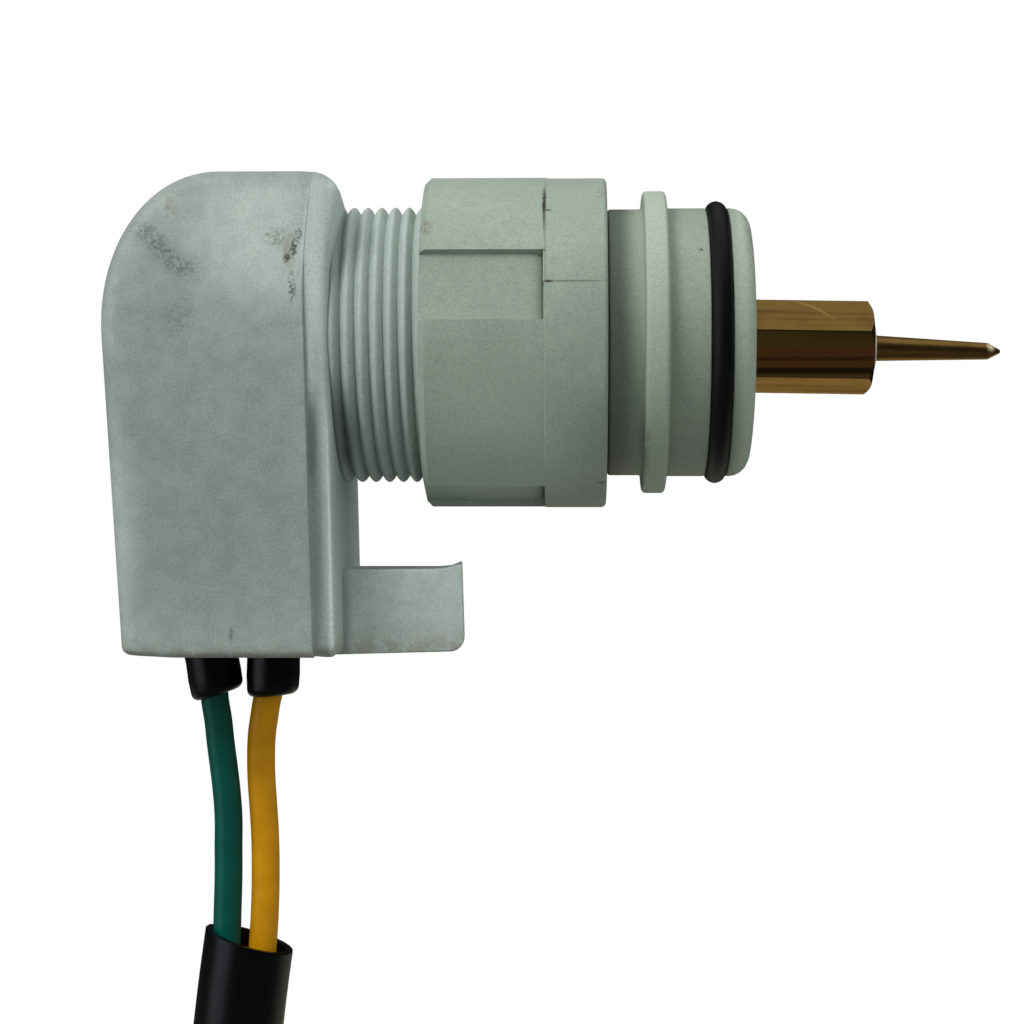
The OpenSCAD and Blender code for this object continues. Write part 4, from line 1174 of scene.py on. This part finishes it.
class PROBE_OT_nut(bpy.types.Operator):
    """Model the union nut with its spanner notches and split band"""
    bl_idname = "probe.nut"
    bl_label = "Union nut"

    def execute(self, context):
        s, c = sizes(), colours()
        grime_and_shade = c.grime_and_shade
        lip_back, chamfer = s.nut_front - 0.003, 0.0006
        rear = self.notched(s, chamfer)
        inner = turn("nut_inside", (
            (s.nut_back, s.nut_bore + chamfer, 0), (s.nut_back + chamfer, s.nut_bore, 0),
            (lip_back, s.nut_bore, 0), (lip_back, s.nut_lip, 0), (s.nut_front, s.nut_lip, 0.0003),
            (s.nut_front, s.nut_bore + 0.0002, 0), (s.nut_front - 0.0002, s.nut_bore + chamfer, 0)))
        upper = self.half_band(s, "upper_band", s.nut_radius + 0.0001, 0.00012, -math.pi)
        lower = self.half_band(s, "lower_band", s.nut_rear_radius - 0.00007, 0, math.pi)
        nut = lowered(join("union_nut_shell", rear, inner, upper, lower), s.plug_sag)
        place_piece(nut, "nut", "nut_plastic", "union_nut")
        moulded("nut plastic", c.nut, (
            # Painted light over the lower near side
            (spots((-19, -12, -13.5), (15, 12, 15)), shade(c.nut, 1.42), 0.9),
            (spots((-25.2, -13.8, 10.9), (0.9, 3, 1.3), 2300, 0.6), tone("#6d6446"), 0.6),
            (spots((-7, -9.5, 15), (1, 3, 1.5), 1900, 0.4), shade(grime_and_shade, 0.9), 0.45),
            # Painted shade of the step at the upper band's rear edge, with dirt in the gap
            (spots((-13.02, -11.5, 12.8), (0.2, 7, 4.6)), shade(grime_and_shade, 0.5), 0.8),
            (spots((-13.05, -10.6, 14), (0.3, 6, 2.4), 1700, 0.75), shade(grime_and_shade, 0.15), 0.95),
            (spots((-12.6, -12.5, 12.9), (0.5, 3, 0.16)), shade(grime_and_shade, 0.15), 0.8),
            # Painted shadow under the step at the band's parting line, darkest at its rear end
            (spots((-10.6, -17.2, 5.04), (6, 1.5, 0.13), 1400, 0.9), shade(grime_and_shade, 0.6), 0.6),
            (spots((-12.5, -17.2, 5.0), (0.65, 1.5, 0.2)), shade(grime_and_shade, 0.15), 0.9),
            (spots((-7, -8.8, -15.5), (0.6, 2, 0.14)), shade(grime_and_shade, 0.3), 0.7),
            # Painted shade along the notch's upper wall
            (spots((-19, -16.4, 7.9), (8, 1.2, 0.4)), shade(grime_and_shade, 0.8), 0.35))).on(nut)
        return {"FINISHED"}

    def notched(self, s, chamfer):
        """Rear part: a ring drawn forward, its wall flattened at each notch and rolled off at the band."""
        begin()
        bpy.ops.mesh.primitive_circle_add(vertices=480, radius=s.nut_bore + chamfer, fill_type="NOTHING",
                                          location=(s.nut_back, 0, 0), rotation=(0, math.pi / 2, 0))
        ring = added("nut_rear")
        edit()
        roll, roll_depth = 0.0014, 0.0006
        start = s.nut_band - 0.00003 - roll
        stations = [s.nut_back, s.nut_back, s.nut_back + chamfer, start]
        stations += [start + roll * math.sin(math.radians(a)) for a in (20, 38, 55, 72, 90)]
        stations += [s.nut_band + 0.0002]
        radii = [s.nut_bore + chamfer, s.nut_rear_radius - chamfer]
        radii += [s.nut_rear_radius] * (len(stations) - 2)
        for here, there, small, large in zip(stations, stations[1:], radii, radii[1:]):
            draw_out((there - here, 0, 0))
            grow = large / small
            bpy.ops.transform.resize(value=(1, grow, grow), center_override=(there, 0, 0))
        half = s.notch_width / 2
        for quarter in range(4):
            tilt = Matrix.Rotation(math.pi / 2 - s.notch_turn + quarter * math.pi / 2, 3, "X")
            out, across = tilt @ Vector((0, 0, 1)), tilt @ Vector((0, 1, 0))
            for x in stations[1:-1]:
                share = max(0.0, (x - start) / roll)
                floor = s.notch_floor - roll_depth * (1 - math.sqrt(max(0.0, 1 - share * share)))
                pick("VERT", lambda v: abs(v.co.x - x) < TINY and v.co.dot(out) > floor
                     and abs(v.co.dot(across)) < half)
                bpy.ops.transform.resize(value=(1, 1, 0), orient_type="GLOBAL", orient_matrix=tilt,
                                         orient_matrix_type="GLOBAL", center_override=out * floor)
        return settle(ring, 28)

    def half_band(self, s, name, radius, gap, sweep):
        """Half of the front band, from one parting line round to the other."""
        back, inner = s.nut_band + gap, s.nut_bore + 0.0003
        out = Vector((0, -math.cos(s.notch_turn), math.sin(s.notch_turn)))
        corners = ((back, inner, 0), (back, radius, 0.00012), (s.nut_front, radius, 0.0005),
                   (s.nut_front, inner, 0))
        line = [X_AXIS * p.x + out * p.y for p in softened(corners, 6)]
        trace(name, line, closed=True)
        bpy.ops.mesh.spin(steps=96, angle=sweep, center=(0, 0, 0), axis=(1, 0, 0))
        return settle(bpy.context.object, 28)


class PROBE_OT_plug(bpy.types.Operator):
    """Model the plug sleeve with its collar and seal groove, and the O-ring"""
    bl_idname = "probe.plug"
    bl_label = "Plug sleeve"

    def execute(self, context):
        s, c = sizes(), colours()
        grime_and_shade = c.grime_and_shade
        floor = s.plug + 0.00075 - s.ring_cord
        half = s.ring_cord * 0.5
        back = s.nut_front + 0.00015
        bore, seat, hole, pocket = 0.01304, 0.0052, 0.00404, 0.0105
        seat_floor, wall_back, pocket_back = 0.0079, 0.0041, 0.001
        easing = 0.0002
        sleeve = turn("plug_sleeve_shell", (
            (back, bore, 0), (back, s.neck, 0.0003), (s.collar_back, s.neck, 0.0004),
            (s.collar_back, s.collar, 0.00045), (0, s.collar, 0.00045), (0, s.plug, 0.0003),
            (s.ring_x - half, s.plug, easing), (s.ring_x - half, floor, easing),
            (s.ring_x + half, floor, easing), (s.ring_x + half, s.plug, easing),
            (s.plug_front, s.plug, s.plug_round), (s.plug_front, seat, easing), (seat_floor, seat, 0),
            (seat_floor, hole, 0), (wall_back, hole, 0), (wall_back, pocket, 0), (pocket_back, pocket, 0),
            (pocket_back, bore, 0)), 200, 28, ring=True)
        lowered(sleeve, s.plug_sag)
        place_piece(sleeve, "plug", "shell_plastic", "plug_sleeve")
        moulded("plug plastic", c.plug, (
            (spots((3.4, -11.6, 8.8), (0.24, 2, 0.2)), shade(grime_and_shade, 0.3), 0.9),
            # Painted light on the front rounding
            (behind(7.4, -0.7), shade(c.plug, 1.36), 1.0),
            # Painted light on the collar
            (behind(0.1, 0.15), shade(c.plug, 1.25), 1.0),
            # The neck starts again from the plain colour
            (behind(-2.5, 0.1), c.plug, 1.0),
            # Painted shade in the neck's recess between nut and collar, darkest by the nut
            (behind(-3.9, 1.1), shade(c.plug, 0.58), 1.0),
            (spots((-2.4, -11, -12), (0.8, 6, 5), 1000, 0.6), grime_and_shade, 0.4),
            (spots((8.6, -8, 11), (1, 8, 5), 900, 0.45), grime_and_shade, 0.3))).on(sleeve)
        seal = self.seal(s, floor)
        place_piece(seal, "plug", "black_rubber", "o_ring")
        rubbery("seal rubber", c.rubber, 0.44, 1300).on(seal)
        return {"FINISHED"}

    def seal(self, s, floor):
        """Round rubber ring with a faint moulding line round its outside."""
        radius, sides = s.ring_cord / 2, 36
        corners = []
        for i in range(sides):
            a = math.tau * i / sides
            swell = radius * (1.018 if i == sides // 4 else 1.0)
            corners.append((s.ring_x + swell * math.cos(a), floor + radius + swell * math.sin(a), 0))
        return lowered(turn("plug_seal", corners, 200, 50, ring=True), s.plug_sag)


class PROBE_OT_brass(bpy.types.Operator):
    """Model the brass hexagon with its holder, and the pointed pin"""
    bl_idname = "probe.brass"
    bl_label = "Brass probe"

    def execute(self, context):
        s, c = sizes(), colours()
        brass, tarnish = c.brass, c.tarnish
        holder = self.holder(s)
        place_piece(holder, "plug", "brass", "hex_holder")
        # Painted reflection stripes by height on the hexagon's faces
        brassy("drawn brass bar", brass, tarnish, (
            (-0.9, 1.0, tone("#a58a4c"), 0.7), (-3.1, -1.0, tone("#b8774a"), 0.75),
            (-2.35, -1.95, shade(tarnish, 0.4), 0.6), (-3.75, -3.1, shade(tarnish, 0.3), 0.9)),
            # Painted highlight on the upper face
            [(self.glint_streak, shade(brass, 1.8), 0.6)]).on(holder)
        pin = self.pin(s)
        place_piece(pin, "plug", "brass", "electrode_pin")
        brassy("turned brass pin", brass, tarnish, rough=0.26,
               # Painted highlight at the point
               tip_glint=spots((35.6, -1, -0.4), (0.8, 1.2, 1.2))).on(pin)
        bush_back, bush_hole = -0.0244, 0.0013
        bush = turn("white_bush", (
            (bush_back, bush_hole, 0), (bush_back, s.bush, 0.0002), (s.bush_front, s.bush, 0.0002),
            (s.bush_front, bush_hole, 0)), 72, ring=True)
        place_piece(bush, "plug", "white_insulator", "insulator_bush")
        moulded("bush insulator", c.white, grain=0.5).on(bush)
        for piece in (holder, pin, bush):
            self.droop(lowered(piece, s.plug_sag), s.probe_tilt, s.spigot_end)
        self.droop(pin, s.pin_tilt, s.hexagon_front)
        return {"FINISHED"}

    def glint_streak(self, finish):
        """Painted highlight: a pale curved streak across the hexagon's upper face."""
        across = finish.along("X") * (1 / MM) - 14.6
        off = finish.along("Z") * (1 / MM) - 4.1 + across * (0.21 + across * 0.097)
        line = finish.step(off * off, 0.03, 0.002) * finish.step(finish.along("Y"), -0.0005, -0.0015)
        return line * finish.step(across, -0.8, 0.4) * finish.step(across, 3.8, 2.8)

    def droop(self, piece, tilt, seat):
        """Tilts a piece of the probe a little about its seat."""
        take(piece)
        edit()
        bpy.ops.transform.rotate(value=-tilt, orient_axis="Y", center_override=(seat, 0, 0))
        bpy.ops.object.mode_set(mode="OBJECT")

    def holder(self, s):
        """Hexagon bar with turned end chamfers, its shank and its hollow tail."""
        begin()
        corner = s.hexagon / math.sqrt(3)
        span = s.hexagon_front - s.plug_front
        bpy.ops.mesh.primitive_cylinder_add(vertices=6, radius=corner, depth=span,
                                            location=(s.plug_front + span / 2, 0, 0),
                                            rotation=(0, math.pi / 2, 0))
        bar = bpy.context.object
        bar.name = "hex_bar"
        edit()
        bpy.ops.transform.rotate(value=math.radians(30) - s.hexagon_turn, orient_axis="X",
                                 center_override=(0, 0, 0))
        pick("EDGE", lambda e: abs(e.verts[0].co.z - e.verts[1].co.z) > span * 0.5)
        bevel(0.00014, 3)
        settle(bar, 25)
        flat = s.hexagon / 2
        cut = (corner - flat) * 0.55
        outside = corner + 0.0001
        blank = turn("turned_blank", (
            (s.plug_front, 0, 0), (s.plug_front, flat, 0), (s.plug_front + cut, outside, 0),
            (s.hexagon_front - 0.0006, outside, 0.0003), (s.hexagon_front, flat - 0.0001, 0.0002),
            (s.hexagon_front, 0, 0)), 96)
        applied(bar, "BOOLEAN", operation="INTERSECT", object=blank)
        bpy.data.objects.remove(blank)
        hole, face = s.bush + 0.00004, s.hexagon_front + 0.00006
        bore = turn("holder_bore", (
            (s.hexagon_front - 0.0001, 0.0035, 0), (face, 0.0033, 0), (face, s.bush + 0.0002, 0),
            (s.hexagon_front - 0.0012, hole, 0)), 72)
        tail_end, tail_root, tail_radius = -0.0239, s.plug_front + 0.001, 0.004
        tail = turn("holder_tail", (
            (tail_root, hole, 0), (tail_root, tail_radius, 0), (tail_end, tail_radius, 0.0003),
            (tail_end, hole, 0)), 72, ring=True)
        settle(bar, 25)
        return join("brass_hexagon", bar, bore, tail)

    def pin(self, s):
        """Turned pin: a tail in the socket, a slow taper and a short point with a small flat."""
        point_x, root_x = s.pin_tip - 0.00135, s.bush_front
        tail_end, tail_radius = -0.0313, 0.00125
        return turn("brass_pin", (
            (tail_end, 0, 0), (tail_end, tail_radius, 0.0006), (root_x, tail_radius, 0),
            (root_x, s.pin_root, 0.0001), (point_x, s.pin_end, 0.0003), (s.pin_tip, 0.00018, 0.0001),
            (s.pin_tip, 0, 0)), 72, 40)


class PROBE_OT_inner_parts(bpy.types.Operator):
    """Finish the solids inside the probe that keep their shape"""
    bl_idname = "probe.inner_parts"
    bl_label = "Inner parts"

    def execute(self, context):
        c = colours()
        shelf = bpy.data.objects
        finishes = (
            (rubbery("gasket rubber", c.rubber, 0.5, 900),
             ("seam_gasket", "face_gasket", "holder_seal")),
            (moulded("white insulator", c.white, grain=0.5), ("thrust_ring",)),
            (moulded("bush plastic", c.plug), ("retaining_bush",)),
            (moulded("black insulator", c.dark, grain=0.6), ("socket_block",)),
            (brassy("contact brass", c.brass, c.tarnish),
             ("lock_nut", "spring_contact", "centre_socket")),
            (metal("plated steel", c.steel), ("lock_washer", "connector_terminals")))
        for finish, nodes in finishes:
            for node in nodes:
                if node not in shelf:
                    raise RuntimeError(f"{node}: no such solid")
                finish.on(shelf[node])
        return {"FINISHED"}


class PROBE_PT_panel(bpy.types.Panel):
    """Sizes, colours and steps of the flame sensor probe"""
    bl_idname = "PROBE_PT_panel"
    bl_label = "Flame sensor probe"
    bl_space_type = "VIEW_3D"
    bl_region_type = "UI"
    bl_category = "Probe"

    def draw(self, context):
        for step in STEPS:
            self.layout.operator(step.bl_idname)
        scene = context.scene
        for group, kind in ((scene.probe_sizes, ProbeSizes), (scene.probe_colours, ProbeColours)):
            for name in kind.__annotations__:
                self.layout.prop(group, name)


STEPS = (PROBE_OT_stage, PROBE_OT_connector, PROBE_OT_lead, PROBE_OT_boots, PROBE_OT_elbow, PROBE_OT_nut,
         PROBE_OT_plug, PROBE_OT_brass, PROBE_OT_inner_parts)
CLASSES = (ProbeSizes, ProbeColours, *STEPS, PROBE_PT_panel)


def register():
    for kind in CLASSES:
        bpy.utils.register_class(kind)
    bpy.types.Scene.probe_sizes = bpy.props.PointerProperty(type=ProbeSizes)
    bpy.types.Scene.probe_colours = bpy.props.PointerProperty(type=ProbeColours)


def unregister():
    del bpy.types.Scene.probe_colours
    del bpy.types.Scene.probe_sizes
    for kind in reversed(CLASSES):
        bpy.utils.unregister_class(kind)


def main():
    register()
    bpy.ops.probe.stage()
    bpy.ops.probe.connector()
    bpy.ops.probe.lead()
    bpy.ops.probe.boots()
    bpy.ops.probe.elbow()
    bpy.ops.probe.nut()
    bpy.ops.probe.plug()
    bpy.ops.probe.brass()
    bpy.ops.probe.inner_parts()
    begin()


if __name__ == "__main__":
    main()
